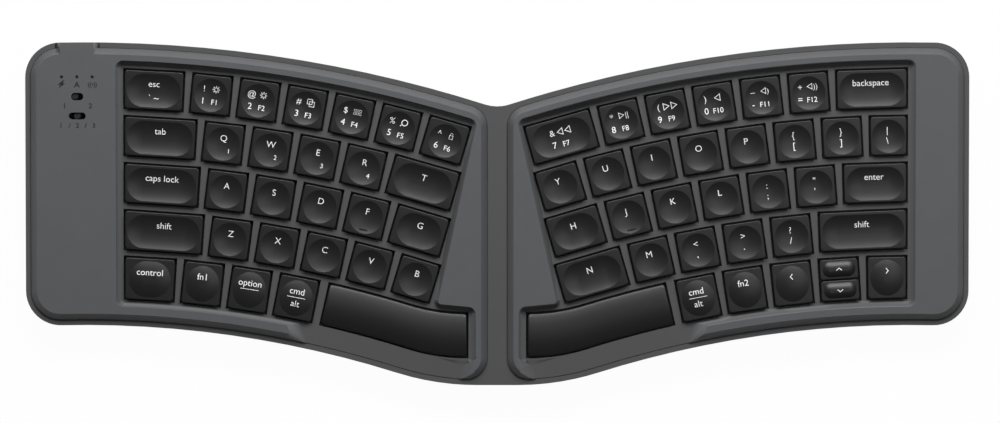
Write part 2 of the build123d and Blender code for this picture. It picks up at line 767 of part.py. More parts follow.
def key_frame(side, keys):
    """The guide frame: a slab with a square guide for each stem, in a wall that spans the stack."""
    body = slab(stack_outline(side), SHEET_TOP + SEAT_GAP, COVER_BOTTOM - SEAT_GAP)
    inside = well_outline(side, -FRAME_LIP, rounded=False)
    body -= slab(inside, GUIDE_TOP, COVER_BOTTOM)
    body -= slab(inside, SHEET_TOP, GUIDE_BOTTOM)
    guide = STEM_SIZE + 2 * STEM_CLEARANCE
    hole = slab(Rectangle(guide, guide), SHEET_TOP, COVER_BOTTOM)
    return body - [spot * hole for spot in stem_spots(side, keys)]


def stem_spots(side, keys):
    """Where every stem of one half stands."""
    return [key.place() for key in keys] + bar_spots(side)


def dome_sheet(side, keys):
    """The rubber sheet with a dome under each stem."""
    body = slab(stack_outline(side), SHEET_TOP - SHEET_THICKNESS, SHEET_TOP)
    dome = frustum(square(DOME_SIZE), square(DOME_CROWN_SIZE), SHEET_TOP, STEM_BOTTOM - SEAT_GAP)
    return body + [spot * dome for spot in stem_spots(side, keys)]


def upright(face, level, bottom):
    """Walls that stand upright from a height of the case up to the tilted deck."""
    return slab(face, bottom, BIG / 4) & below_deck(level)


def foot_pocket():
    """The hollow that a folded tilt foot lies in, hinge end to the rear."""
    width = FOOT_WIDTH + 2 * FOOT_CLEARANCE
    length = FOOT_LENGTH + FOOT_THICKNESS / 2 + 3 * FOOT_CLEARANCE
    depth = FOOT_RAISE + FOOT_THICKNESS + FOOT_CLEARANCE
    x, y = FOOT_HINGE
    rear = y + FOOT_THICKNESS / 2 + FOOT_CLEARANCE
    return (x, rear - length / 2), width, length, depth


def base_case():
    """The case tub: floor, upright walls with a ledge for the wings, the spine, posts and pockets."""
    floor_top = BASE_BOTTOM + BASE_FLOOR
    body = upright(case_outline(0.0), RIM_LEVEL, BASE_BOTTOM)
    bottom = body.faces().sort_by(Axis.Z)[0]
    body = chamfer(bottom.outer_wire().edges(), BASE_EDGE_CHAMFER)
    body -= upright(case_outline(BASE_WALL, hidden=True), COVER_BOTTOM - LEDGE_THICKNESS, floor_top)
    for side in (LEFT, RIGHT):
        inner = wing_outline(side, LEDGE_WIDTH, hidden=True)
        body -= deck_place() * slab(inner, COVER_BOTTOM - LEDGE_THICKNESS - 1, 10)
        body -= deck_place() * slab(wing_outline(side, -SEAM_GAP), COVER_BOTTOM - SEAT_GAP, 10)
    body += base_posts(floor_top)
    body += spine_wall(floor_top)
    for side in (LEFT, RIGHT):
        (x, y), width, length, depth = foot_pocket()
        outer = Rectangle(width + 2 * POCKET_WALL + 2 * FOOT_PIN_LENGTH, length + 2 * POCKET_WALL)
        body += Pos(side * x, y, 0) * slab(outer, BASE_BOTTOM, BASE_BOTTOM + depth + POCKET_WALL)
        body -= Pos(side * x, y, 0) * slab(Rectangle(width, length), 0, BASE_BOTTOM + depth)
        bore = RegularPolygon(FOOT_PIN_RADIUS + FOOT_PIN_CLEARANCE, FOOT_PIN_SIDES, major_radius=False)
        body -= foot_axis(side) * extrude(Plane.YZ * bore, width / 2 + FOOT_PIN_LENGTH + SEAT_GAP, both=True)
        for place in pad_places(side):
            body -= place * slab(pad_outline(0.0), 0, BASE_BOTTOM + PAD_RECESS)
        body -= [spot * screw_hole(spot) for spot in screw_spots(side)]
    opening = Pos(-PORT_X, ARC_Y + REAR_RADIUS, PORT_CENTRE) * Box(PORT_OPENING[0], 16, PORT_OPENING[1])
    return body - deck_place() * opening


def base_posts(floor_top):
    """Posts under the plates, the board and the wings' screws."""
    posts = []
    for side in (LEFT, RIGHT):
        for x, y in PLATE_POSTS:
            post = Pos(side * x, y) * Rectangle(POST_SIZE, POST_SIZE)
            posts.append(upright(post, PLATE_BOTTOM - SEAT_GAP, floor_top - POST_SINK))
        for spot in screw_spots(side):
            boss = spot * Rectangle(BOSS_SIZE, BOSS_SIZE)
            posts.append(upright(boss, COVER_BOTTOM - SEAT_GAP, floor_top - POST_SINK))
    for x in (BOARD_X[0] + BOARD_POST, BOARD_X[1] - BOARD_POST):
        for y in (BOARD_Y[0] + BOARD_POST, BOARD_Y[1] - BOARD_POST):
            post = Pos(-x, y) * Rectangle(BOARD_POST, BOARD_POST)
            posts.append(upright(post, BOARD_TOP - BOARD_THICKNESS - SEAT_GAP, floor_top - POST_SINK))
    return posts


def spine_wall(floor_top):
    """The two webs under the spine, with a window for the ribbon cable."""
    web_x = SPINE_WIDTH / 2 + LEDGE_WIDTH - BASE_WALL / 2
    front_gap, rear_gap = SPINE_END_GAPS
    front = ARC_Y + FRONT_HEIGHT + front_gap
    rear = ARC_Y + REAR_RADIUS * math.cos(ring_angle(REAR_RADIUS, 0.0)) - rear_gap
    webs = []
    for side in (LEFT, RIGHT):
        face = Pos(side * web_x, (front + rear) / 2) * Rectangle(BASE_WALL, rear - front)
        web = upright(face, COVER_BOTTOM - LEDGE_THICKNESS + POST_SINK, floor_top - POST_SINK)
        window = Pos(side * web_x, RIBBON_Y, floor_top + CABLE_WINDOW[1] / 2)
        webs.append(web - window * Box(3 * BASE_WALL, CABLE_WINDOW[0], CABLE_WINDOW[1]))
    return webs


def screw_reach(spot):
    """How high a case screw ends, in the wing above its post."""
    seat = DECK_HEIGHT + spot.position.Y * math.tan(math.radians(DECK_TILT)) + COVER_BOTTOM
    return seat + SCREW_BITE


def screw_hole(spot):
    """The hole for a case screw through the tub and into the wing, with the counterbore for its head."""
    hole = slab(small_round(SCREW_RADIUS + SCREW_CLEARANCE), 0, screw_reach(spot) + SCREW_TIP_GAP)
    head = small_round(SCREW_HEAD_RADIUS + 2 * SCREW_CLEARANCE)
    return hole + slab(head, 0, BASE_BOTTOM + SCREW_SINK + SCREW_HEAD_HEIGHT)


def case_screws():
    """Six screws that pull the wings onto the tub from below."""
    found = []
    bottom = BASE_BOTTOM + SCREW_SINK - SEAT_GAP
    for side in (LEFT, RIGHT):
        for spot in screw_spots(side):
            head = slab(small_round(SCREW_HEAD_RADIUS), bottom, bottom + SCREW_HEAD_HEIGHT)
            shank = slab(small_round(SCREW_RADIUS), bottom, screw_reach(spot))
            found.append(spot * (head + shank))
    return found


def foot_axis(side):
    """The place of a tilt foot's hinge."""
    x, y = FOOT_HINGE
    return Pos(side * x, y, BASE_BOTTOM + FOOT_RAISE + FOOT_THICKNESS / 2)


def tilt_foot(side):
    """A folding foot: a flat leg, rounded at the hinge, with a pin on each side."""
    profile = Pos(-FOOT_LENGTH / 2, 0) * Rectangle(FOOT_LENGTH, FOOT_THICKNESS)
    profile += Circle(FOOT_THICKNESS / 2)
    leg = extrude(Plane.YZ * profile, FOOT_WIDTH / 2, both=True)
    pin = RegularPolygon(FOOT_PIN_RADIUS, FOOT_PIN_SIDES)
    pin = extrude(Plane.YZ * pin, FOOT_WIDTH / 2 + FOOT_PIN_LENGTH, both=True)
    grip = Pos(0, -FOOT_LENGTH, -FOOT_THICKNESS / 2) * Box(*FOOT_GRIP)
    return foot_axis(side) * (leg + pin - grip)


def pad_places(side):
    """Where the rubber pads of one half lie."""
    return [Pos(side * x, y, 0) * Rot(0, 0, side * turn) for x, y, turn in PAD_SPOTS]


def pad_outline(grow):
    """A rubber pad's outline, or that of its recess."""
    return Rectangle(PAD_LENGTH + 2 * grow, PAD_WIDTH + 2 * grow)


def rubber_pads():
    """Eight rubber pads that the keyboard stands on."""
    pad = slab(pad_outline(-PAD_CLEARANCE), 0, BASE_BOTTOM + PAD_RECESS - SEAT_GAP)
    return [place * pad for side in (LEFT, RIGHT) for place in pad_places(side)]


def controller_board():
    """The circuit board under the left bezel, with its chips and the two switch housings."""
    width = BOARD_X[1] - BOARD_X[0]
    depth = BOARD_Y[1] - BOARD_Y[0]
    x = -(BOARD_X[0] + BOARD_X[1]) / 2
    y = (BOARD_Y[0] + BOARD_Y[1]) / 2
    body = Pos(x, y, 0) * slab(Rectangle(width, depth), BOARD_TOP - BOARD_THICKNESS, BOARD_TOP)
    for chip_x, chip_y, chip_w, chip_d, chip_h in CHIPS:
        body += Pos(-chip_x, chip_y, 0) * slab(Rectangle(chip_w, chip_d), BOARD_TOP, BOARD_TOP + chip_h)
    for switch_y, _, _ in SWITCHES.values():
        length, width, height = SWITCH_HOUSING
        housing = slab(Rectangle(length, width), BOARD_TOP, BOARD_TOP + height)
        body += Pos(-SWITCH_X, switch_y, 0) * housing
    return body


def usb_socket():
    """The charging socket: a hollow shell with its tongue, on the rear edge of the board."""
    width, depth, height = SOCKET_SIZE
    shell = extrude(chamfer(Rectangle(width, height).vertices(), SOCKET_CORNER), depth)
    bore = Rectangle(width - 2 * SOCKET_SHELL, height - 2 * SOCKET_SHELL)
    bore = chamfer(bore.vertices(), SOCKET_CORNER - SOCKET_SHELL / 2)
    shell -= Pos(0, 0, SOCKET_SHELL) * extrude(bore, depth)
    tongue = extrude(Rectangle(*TONGUE_SIZE[:2]), TONGUE_SIZE[2])
    mouth = ARC_Y + REAR_RADIUS - BASE_WALL
    place = Pos(-PORT_X, mouth - depth, PORT_CENTRE) * Rot(-90, 0, 0)
    return place * (shell + tongue)


def slider(name):
    """A slide switch's knob, on the small plate that keeps it in its slot."""
    y, length, _ = SWITCHES[name]
    foot_top = BOARD_TOP + SWITCH_HOUSING[2] + SEAT_GAP + SWITCH_PLATE[2]
    plate = slab(Rectangle(SWITCH_PLATE[0], SWITCH_PLATE[1]), foot_top - SWITCH_PLATE[2], foot_top)
    knob = slab(chamfer(Rectangle(*KNOB_SIZE).vertices(), KNOB_CORNER), foot_top, KNOB_TOP)
    start = -SWITCH_TRAVEL[name] / 2 if name == "system_switch_slider" else 0.0
    return Pos(-SWITCH_X + start, y, 0) * (plate + knob)


def indicator_lights():
    """Three light pipes from the board to the wing's surface."""
    pipe = slab(small_round(LIGHT_RADIUS), BOARD_TOP + SEAT_GAP, WING_TOP - LIGHT_SINK)
    return [Pos(x, LIGHTS_Y, 0) * pipe for x in light_places()]


def battery():
    """The flat cell on the floor of the right half."""
    x, y = BATTERY_SPOT
    bottom = BASE_BOTTOM + BASE_FLOOR + SEAT_GAP
    width, depth = BATTERY
    front = y - depth / 2
    top = DECK_HEIGHT + PLATE_BOTTOM + front * math.tan(math.radians(DECK_TILT)) - BATTERY_CLEARANCE
    face = chamfer(Rectangle(width, depth).vertices(), BATTERY_CORNER)
    return Pos(x, y, 0) * slab(face, bottom, top)


def ribbon_cable():
    """The flat cable on the tub's floor that joins the halves, turned up at both ends."""
    low = BASE_BOTTOM + BASE_FLOOR + SEAT_GAP
    left, right = RIBBON_ENDS
    rise = (RIBBON_Y - RIBBON_WIDTH / 2) * math.tan(math.radians(DECK_TILT)) + DECK_HEIGHT
    left_top = rise + BOARD_TOP - BOARD_THICKNESS - 3 * SEAT_GAP
    right_top = rise + PLATE_BOTTOM - 3 * SEAT_GAP
    thick = RIBBON_THICKNESS
    points = [
        (left, left_top), (left, low), (right, low), (right, right_top),
        (right - thick, right_top), (right - thick, low + thick), (left + thick, low + thick),
        (left + thick, left_top),
    ]
    return Pos(0, RIBBON_Y, 0) * extrude(Plane.XZ * many_sided(points), RIBBON_WIDTH / 2, both=True)


def write(name, shape):
    """One sub-part, one file."""
    solids = shape if isinstance(shape, list) else [shape]
    whole = solids[0] if len(solids) == 1 else Compound(children=solids)
    whole.label = name
    export_step(whole, f"parts/{name}.step")


def main():
    """Build and write every sub-part."""
    os.makedirs("parts", exist_ok=True)
    deck = deck_place()
    keys = {side: keys_of(side) for side in (LEFT, RIGHT)}
    caps = {key.name: deck * cap(key) for side in keys for key in keys[side]}
    grouped = {name for names in KEY_GROUPS.values() for name in names}
    for name, names in KEY_GROUPS.items():
        write(name, [caps[key] for key in names])
    for name, body in caps.items():
        if name not in grouped:
            write(f"key_{name}", body)
    write("left_space_bar", deck * space_bar(LEFT))
    write("right_space_bar", deck * space_bar(RIGHT))
    write("left_cover", deck * cover(LEFT, keys[LEFT]))
    write("right_cover", deck * cover(RIGHT, keys[RIGHT]))
    write("key_frames", [deck * key_frame(side, keys[side]) for side in keys])
    write("dome_sheets", [deck * dome_sheet(side, keys[side]) for side in keys])
    membranes = [slab(stack_outline(side), PLATE_TOP + SEAT_GAP, MEMBRANE_TOP) for side in keys]
    write("membranes", [deck * sheet for sheet in membranes])
    plates = [slab(stack_outline(side), PLATE_BOTTOM, PLATE_TOP) for side in keys]
    write("support_plates", [deck * plate for plate in plates])
    write("base_case", base_case())
    write("controller_board", deck * controller_board())
    write("usb_socket", deck * usb_socket())
    for name in SWITCHES:
        write(name, deck * slider(name))
    write("indicator_lights", [deck * pipe for pipe in indicator_lights()])
    write("battery", battery())
    write("ribbon_cable", ribbon_cable())
    write("rubber_pads", rubber_pads())
    write("left_tilt_foot", tilt_foot(LEFT))
    write("right_tilt_foot", tilt_foot(RIGHT))
    write("case_screws", case_screws())


main()
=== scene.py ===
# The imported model
# Every piece below takes the place of one of its nodes, alone or with others, and rides on that node's body.
# Sizes are in millimetres, apart from the metres of the lights, the floor's reach and the camera's sight.

import json
import math

import bmesh
import bpy
from mathutils import Matrix, Vector


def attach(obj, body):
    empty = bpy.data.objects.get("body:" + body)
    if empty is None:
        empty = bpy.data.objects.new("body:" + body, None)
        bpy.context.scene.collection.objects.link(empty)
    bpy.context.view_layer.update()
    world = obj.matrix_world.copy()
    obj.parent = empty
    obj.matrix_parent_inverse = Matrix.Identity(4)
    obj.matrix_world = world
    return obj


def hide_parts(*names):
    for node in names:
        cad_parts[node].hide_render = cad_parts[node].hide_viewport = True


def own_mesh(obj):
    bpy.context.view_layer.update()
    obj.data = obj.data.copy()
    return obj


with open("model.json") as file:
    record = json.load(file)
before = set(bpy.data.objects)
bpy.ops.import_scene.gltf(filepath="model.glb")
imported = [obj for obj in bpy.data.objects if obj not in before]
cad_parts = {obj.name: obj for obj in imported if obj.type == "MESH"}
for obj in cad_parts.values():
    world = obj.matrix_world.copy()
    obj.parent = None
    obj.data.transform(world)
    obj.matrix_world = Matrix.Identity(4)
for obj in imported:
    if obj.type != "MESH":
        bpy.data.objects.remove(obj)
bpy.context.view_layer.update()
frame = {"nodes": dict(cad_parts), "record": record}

# Camera
# The keyboard is photographed from straight above with a long lens. The picture is a little wider than the
# case, measured at the height of the rim.

MM = 0.001
VIEW_WIDTH = 401.56
VIEW_CENTRE = (1.1, 0.9)
CAMERA_HEIGHT = 3000.0
RIM_HEIGHT = 16.0
SENSOR_WIDTH = 36.0
SIGHT = 20.0

scene = bpy.context.scene
scene.view_settings.view_transform = "Standard"
camera_data = bpy.data.cameras.new("camera")
camera_data.sensor_width = SENSOR_WIDTH
camera_data.lens = SENSOR_WIDTH * (CAMERA_HEIGHT - RIM_HEIGHT) / VIEW_WIDTH
camera_data.clip_end = SIGHT
camera = bpy.data.objects.new("camera", camera_data)
camera.location = (VIEW_CENTRE[0] * MM, VIEW_CENTRE[1] * MM, CAMERA_HEIGHT * MM)
scene.collection.objects.link(camera)
scene.camera = camera

# Studio light
# A large soft box stands behind the keyboard and leans over it, so that whatever faces the rear is bright
# and whatever faces the user is dark. Dimmer panels at the sides fill in.

ROOM_GLOW = 0.05


def soft_box(name, azimuth, lean, distance, size, radiance):
    """A rectangular area light: its bearing from the rear, its lean from straight up, and its brightness."""
    data = bpy.data.lights.new(name, "AREA")
    data.shape = "RECTANGLE"
    data.size, data.size_y = size
    data.energy = radiance * math.pi * size[0] * size[1]
    light = bpy.data.objects.new(name, data)
    turn = Matrix.Rotation(math.radians(-azimuth), 3, "Z") @ Matrix.Rotation(math.radians(-lean), 3, "X")
    light.location = turn @ Vector((0.0, 0.0, distance))
    light.rotation_euler = turn.to_euler()
    scene.collection.objects.link(light)


soft_box("rear_box", azimuth=3, lean=44, distance=1.2, size=(1.3, 0.55), radiance=9.4)
soft_box("right_box", azimuth=85, lean=20, distance=1.3, size=(0.4, 0.7), radiance=1.7)
soft_box("left_box", azimuth=-95, lean=70, distance=1.3, size=(0.5, 0.9), radiance=0.35)

world = bpy.data.worlds.new("studio")
scene.world = world
world.use_nodes = True
world.node_tree.nodes["Background"].inputs["Color"].default_value = (1.0, 1.0, 1.0, 1.0)
world.node_tree.nodes["Background"].inputs["Strength"].default_value = ROOM_GLOW

# Floor
# A white sweep lies under the keyboard. The camera and whatever reflects or lets light through see it nearly
# white, and it keeps a trace of the keyboard's shadow.

FLOOR_REACH = 6.0
FLOOR_DROP = 0.2
FLOOR_WHITE = 238
FLOOR_GLOW = 0.97

floor_mesh = bpy.data.meshes.new("floor")
floor_form = bmesh.new()
bmesh.ops.create_grid(floor_form, x_segments=1, y_segments=1, size=FLOOR_REACH)
floor_form.to_mesh(floor_mesh)
floor_form.free()
floor = bpy.data.objects.new("floor", floor_mesh)
floor.location.z = -FLOOR_DROP * MM
scene.collection.objects.link(floor)


class Value:
    """A shader socket. An expression on it adds Math nodes."""

    def __init__(self, finish, socket):
        self.finish = finish
        self.socket = socket

    def math(self, operation, first, second):
        return self.finish.node("Math", {"operation": operation}, first, second)

    def __add__(self, other):
        return self.math("ADD", self, other)

    def __sub__(self, other):
        return self.math("SUBTRACT", self, other)

    def __rsub__(self, other):
        return self.math("SUBTRACT", other, self)

    def __mul__(self, other):
        return self.math("MULTIPLY", self, other)

    __radd__ = __add__
    __rmul__ = __mul__


class Finish:
    """A material and the nodes that are put into it."""

    def __init__(self, name):
        self.material = bpy.data.materials.new(name)
        self.material.use_nodes = True
        self.tree = self.material.node_tree
        self.surface = self.tree.nodes["Principled BSDF"]
        self.output = self.tree.nodes["Material Output"]

    def node(self, kind, settings, *inputs, output=0, **named):
        """Adds a node with its settings and its sockets' values or links, and gives one of its outputs."""
        made = self.tree.nodes.new("ShaderNode" + kind)
        for key, value in settings.items():
            setattr(made, key, value)
        for index, value in enumerate(inputs):
            self.feed(made.inputs[index], value)
        for name, value in named.items():
            self.feed(made.inputs[name.replace("_", " ")], value)
        return Value(self, made.outputs[output])

    def feed(self, socket, value):
        """Sets a socket to a number or colour, or links it."""
        if isinstance(value, Value):
            self.tree.links.new(value.socket, socket)
        else:
            socket.default_value = value

    def set(self, **sockets):
        """Sets sockets of the surface shader by name."""
        for name, value in sockets.items():
            self.feed(self.surface.inputs[name.replace("_", " ")], value)

    def place(self):
        """The place on the object, in the object's own metres: the Object output, which is number 3."""
        return self.node("TexCoord", {}, output=3)

    def mix(self, share, first, second):
        """A mix of two colours, which go into sockets 6 and 7 of the Mix node and leave by output 2."""
        made = self.tree.nodes.new("ShaderNodeMix")
        made.data_type = "RGBA"
        self.feed(made.inputs[0], share)
        self.feed(made.inputs[6], first)
        self.feed(made.inputs[7], second)
        return Value(self, made.outputs[2])

    def noise(self, size, detail=2.0):
        """Soft noise from 0 to 1, with patches of about a size."""
        return self.node("TexNoise", {}, Vector=self.place(), Scale=1.0 / (size * MM), Detail=detail)

    def grain(self, size, depth):
        """A moulded grain: bumps of a size and a depth."""
        bump = self.node("Bump", {}, Height=self.noise(size), Strength=1.0, Distance=depth * MM)
        self.set(Normal=bump)


def shade(srgb):
    """A colour written as screen values from 0 to 255, as the shader's linear colour."""
    parts = srgb if isinstance(srgb, tuple) else (srgb, srgb, srgb)
    linear = [((part / 255 + 0.055) / 1.055) ** 2.4 if part > 10 else part / 255 / 12.92 for part in parts]
    return (*linear, 1.0)


white_sweep = Finish("white_sweep")
white_sweep.set(Base_Color=shade(FLOOR_WHITE), Roughness=0.9)
ray = white_sweep.tree.nodes.new("ShaderNodeLightPath")
camera_ray, glossy_ray, through_ray = (
    Value(white_sweep, ray.outputs[f"Is {kind} Ray"]) for kind in ("Camera", "Glossy", "Transmission")
)
seen = camera_ray + glossy_ray + through_ray
glow = white_sweep.node("Emission", {}, Color=(1.0, 1.0, 1.0, 1.0), Strength=1.0)
lit = Value(white_sweep, white_sweep.surface.outputs[0])
floor_mix = white_sweep.node("MixShader", {}, seen * FLOOR_GLOW, lit, glow)
white_sweep.feed(white_sweep.output.inputs["Surface"], floor_mix)
floor_mesh.materials.append(white_sweep.material)

# Wings of the case
# Two raised wings of grey moulded plastic close the case from above. Their outer edges are rounded, and the
# sloped walls of each key well run down to a deck with an opening for every key. Small marks are printed in
# front of the lights and switches.

nodes = frame["nodes"]
body_of = {}
for body, members in frame["record"]["behaviour"]["bodies"].items():
    for node in members:
        body_of[node] = body

DECK_HEIGHT = 17.2
DECK_TILT = math.radians(3.5)
WING_TOP = 3.0
WELL_PAINTED_SHADE = (77, 77, 78)
CASE_DARK = (83, 84, 86)
CASE_LIGHT = (88, 89, 91)
PAINTED_SHADE_FADE = 1.2
MERGE = 0.002
SAME_HEIGHT = 0.02
FLAT_ANGLE = math.radians(0.5)

deck_to_case = (
    Matrix.Scale(MM, 4) @ Matrix.Translation((0, 0, DECK_HEIGHT)) @ Matrix.Rotation(DECK_TILT, 4, "X")
)
case_to_deck = deck_to_case.inverted()

# Painted shade: the case plastic is painted a darker grey low down. The darkening is full at the height of
# the key wells' deck and below it, as on the tub's rim and spine, and fades out a little below the top of the
# wings. It stands in for the shade in the wells.
case_plastic = Finish("case_plastic")
axes = case_plastic.tree.nodes.new("ShaderNodeSeparateXYZ")
case_plastic.feed(axes.inputs[0], case_plastic.place())
place_y, place_z = (Value(case_plastic, axes.outputs[index]) for index in (1, 2))
above_deck = (place_z - place_y * math.tan(DECK_TILT)) * (1 / (WING_TOP * MM)) - DECK_HEIGHT / WING_TOP
unshaded_share = case_plastic.node("Math", {"operation": "MULTIPLY", "use_clamp": True}, above_deck, PAINTED_SHADE_FADE)
mottle = case_plastic.mix(case_plastic.noise(9.0, detail=3.0), shade(CASE_DARK), shade(CASE_LIGHT))
case_plastic.set(
    Base_Color=case_plastic.mix(unshaded_share, shade(WELL_PAINTED_SHADE), mottle),
    Roughness=case_plastic.noise(0.5) * 0.1 + 0.5,
    Specular_IOR_Level=0.4,
)
case_plastic.grain(size=0.28, depth=0.012)


def merge_flats(form):
    """Makes each flat face of a form whole."""
    bmesh.ops.dissolve_limit(
        form, angle_limit=FLAT_ANGLE, verts=form.verts, edges=form.edges, delimit=set(),
        use_dissolve_boundaries=False,
    )


def copy_of(node):
    """A merged copy of a node's mesh, seen from the deck: z is the height above the well's floor."""
    form = bmesh.new()
    form.from_mesh(nodes[node].data)
    form.transform(case_to_deck)
    bmesh.ops.remove_doubles(form, verts=form.verts, dist=MERGE)
    merge_flats(form)
    return form


def round_edges(form, edges, radius, segments):
    """Rounds some edges of a form."""
    bmesh.ops.bevel(
        form, geom=edges, offset=radius, offset_type="OFFSET", segments=segments, profile=0.5,
        affect="EDGES", material=-1, clamp_overlap=True, loop_slide=True,
    )


def piece_from(form, name, place, finishes, node, smooth=35.0):
    """Makes a form into a piece in place of a node, on the node's body. Bends over an angle stay sharp."""
    form.transform(place)
    mesh = bpy.data.meshes.new(name)
    form.to_mesh(mesh)
    form.free()
    for finish in finishes:
        mesh.materials.append(finish.material)
    marked = [edge.index for edge in mesh.edges if edge.use_edge_sharp]
    for face in mesh.polygons:
        face.use_smooth = True
    mesh.set_sharp_from_angle(angle=math.radians(smooth))
    for index in marked:
        mesh.edges[index].use_edge_sharp = True
    piece = bpy.data.objects.new(name, mesh)
    scene.collection.objects.link(piece)
    even = piece.modifiers.new("even_shading", "WEIGHTED_NORMAL")
    even.keep_sharp = True
    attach(piece, body_of[node])
    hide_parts(node)
    return piece


def flat_height(edge, height):
    """Whether an edge lies at one height of the deck."""
    return all(abs(vert.co.z - height) < SAME_HEIGHT for vert in edge.verts)


def bend(edge):
    """How far the faces of an edge turn, in degrees, positive where it stands out."""
    if len(edge.link_faces) != 2:
        return 0.0
    return math.degrees(edge.calc_face_angle_signed())


FONT_CAPITAL = 0.69
INK_HALF = 0.02
LETTER_STEPS = 4


def lettering(text, height, bolder):
    """A text as thin ink on y = 0, with capitals of a height and strokes made bolder, or thinner below 0."""
    curve = bpy.data.curves.new("lettering", "FONT")
    curve.body = text
    curve.size = height / FONT_CAPITAL
    curve.align_x = "CENTER"
    curve.extrude = INK_HALF
    curve.resolution_u = LETTER_STEPS
    curve.offset = bolder
    holder = bpy.data.objects.new("lettering", curve)
    mesh = bpy.data.meshes.new_from_object(holder)
    bpy.data.objects.remove(holder)
    bpy.data.curves.remove(curve)
    ink = bmesh.new()
    ink.from_mesh(mesh)
    bpy.data.meshes.remove(mesh)
    return ink


def join(target, form, place, material=None):
    """Moves a form into a larger one, and gives its faces a material if one is named."""
    form.transform(place)
    if material is not None:
        for face in form.faces:
            face.material_index = material
    spare = bpy.data.meshes.new("spare")
    form.to_mesh(spare)
    form.free()
    target.from_mesh(spare)
    bpy.data.meshes.remove(spare)


MARK_GREY = 22
MARK_BOLD = 0.06
BEZEL_MARKS = [
    ("⚡", -174.6, 52.2, 2.3), ("A", -168.4, 52.0, 2.3), ("((•))", -162.2, 52.1, 1.6),
    ("1", -173.4, 43.5, 2.0), ("2", -163.0, 43.5, 2.0),
    ("1", -174.8, 35.6, 1.8), ("/", -171.4, 35.6, 1.8), ("2", -168.2, 35.6, 1.8), ("/", -164.9, 35.6, 1.8),
    ("3", -161.6, 35.6, 1.8),
]

mark_ink = Finish("mark_ink")
mark_ink.set(Base_Color=shade(MARK_GREY), Roughness=mark_ink.noise(0.3) * 0.1 + 0.5)

EDGE_ROUND = 1.1
EDGE_BENDS = (40, 50)
EDGE_CLIMB = 0.3
WELL_LIP_ROUND = 0.5
WELL_LIP_BEND = 50
APERTURE_ROUND = 0.18
APERTURE_BEND = 80

for side in ("left", "right"):
    wing = copy_of(f"{side}_cover")
    outer = [
        edge for edge in wing.edges
        if EDGE_BENDS[0] < bend(edge) < EDGE_BENDS[1]
        and all(0.0 < vert.co.z < WING_TOP + SAME_HEIGHT for vert in edge.verts)
        and abs(edge.verts[0].co.z - edge.verts[1].co.z) < EDGE_CLIMB
    ]
    round_edges(wing, outer, EDGE_ROUND, segments=4)
    lip = [edge for edge in wing.edges if flat_height(edge, WING_TOP) and bend(edge) > WELL_LIP_BEND]
    round_edges(wing, lip, WELL_LIP_ROUND, segments=3)
    apertures = [edge for edge in wing.edges if flat_height(edge, 0.0) and bend(edge) > APERTURE_BEND]
    round_edges(wing, apertures, APERTURE_ROUND, segments=2)
    if side == "left":
        for mark, x, y, height in BEZEL_MARKS:
            ink = lettering(mark, height, MARK_BOLD)
            join(wing, ink, Matrix.Translation((x, y - height / 2, WING_TOP)), material=1)
    piece_from(
        wing, f"{side}_wing", deck_to_case, [case_plastic, mark_ink], f"{side}_cover",
        smooth=50.0,
    )

# Tub of the case
# One moulded tub of the same plastic carries everything. Its rim stands around the wings, the spine strip
# between them belongs to it, and the bump over the charging port interrupts the rim.

RIM_LEVEL = -2.0
RIM_RISE = 1.75
RIM_NEAR = 0.1
CUT_NEAR = 0.0001
LEVEL_NORMAL = 0.99
PORT_X = -168.4
BUMP_HALF = 8.95
BUMP_FRONT = 57.0
CASE_SKIN = 0.3
SOFT_ANGLE = math.radians(40)


def soften(piece, width):
    """Rounds a piece's sharp edges a little, before its shading is evened out."""
    soft = piece.modifiers.new("soft_edges", "BEVEL")
    soft.width = width * MM
    soft.segments = 2
    soft.limit_method = "ANGLE"
    soft.angle_limit = SOFT_ANGLE
    piece.modifiers.move(1, 0)


def corners_of(made):
    """The corners among what an operator made."""
    return [item for item in made["geom"] if isinstance(item, bmesh.types.BMVert)]


def rim_faces(form):
    """The level faces at the height of the rim."""
    return [
        face for face in form.faces
        if face.normal.z > LEVEL_NORMAL and abs(face.calc_center_median().z - RIM_LEVEL) < RIM_NEAR
    ]


def behind_bump(face):
    """Whether a face of the rim lies behind the bump over the port."""
    middle = face.calc_center_median()
    return abs(middle.x - PORT_X) < BUMP_HALF and middle.y > BUMP_FRONT


tub = copy_of("base_case")
for edge_x in (PORT_X - BUMP_HALF, PORT_X + BUMP_HALF):
    level = rim_faces(tub)
    cut = level[:]
    cut += [edge for edge in tub.edges if any(face in level for face in edge.link_faces)]
    cut += [vert for vert in tub.verts if any(face in level for face in vert.link_faces)]
    bmesh.ops.bisect_plane(tub, geom=cut, dist=CUT_NEAR, plane_co=(edge_x, 0, 0), plane_no=(1, 0, 0))
rim = [face for face in rim_faces(tub) if not behind_bump(face)]
raised = bmesh.ops.extrude_face_region(tub, geom=rim)
bmesh.ops.translate(tub, verts=corners_of(raised), vec=(0, 0, RIM_RISE))
bmesh.ops.recalc_face_normals(tub, faces=tub.faces)
merge_flats(tub)
piece = piece_from(tub, "tub", deck_to_case, [case_plastic], "base_case", smooth=40.0)
soften(piece, CASE_SKIN)

# Key caps
# Each cap is a hollow box of dark plastic, moulded with a round dish for the fingertip and a square plunger
# below. The caps of the thumb row swell upwards instead, and the two short arrow keys share one place.

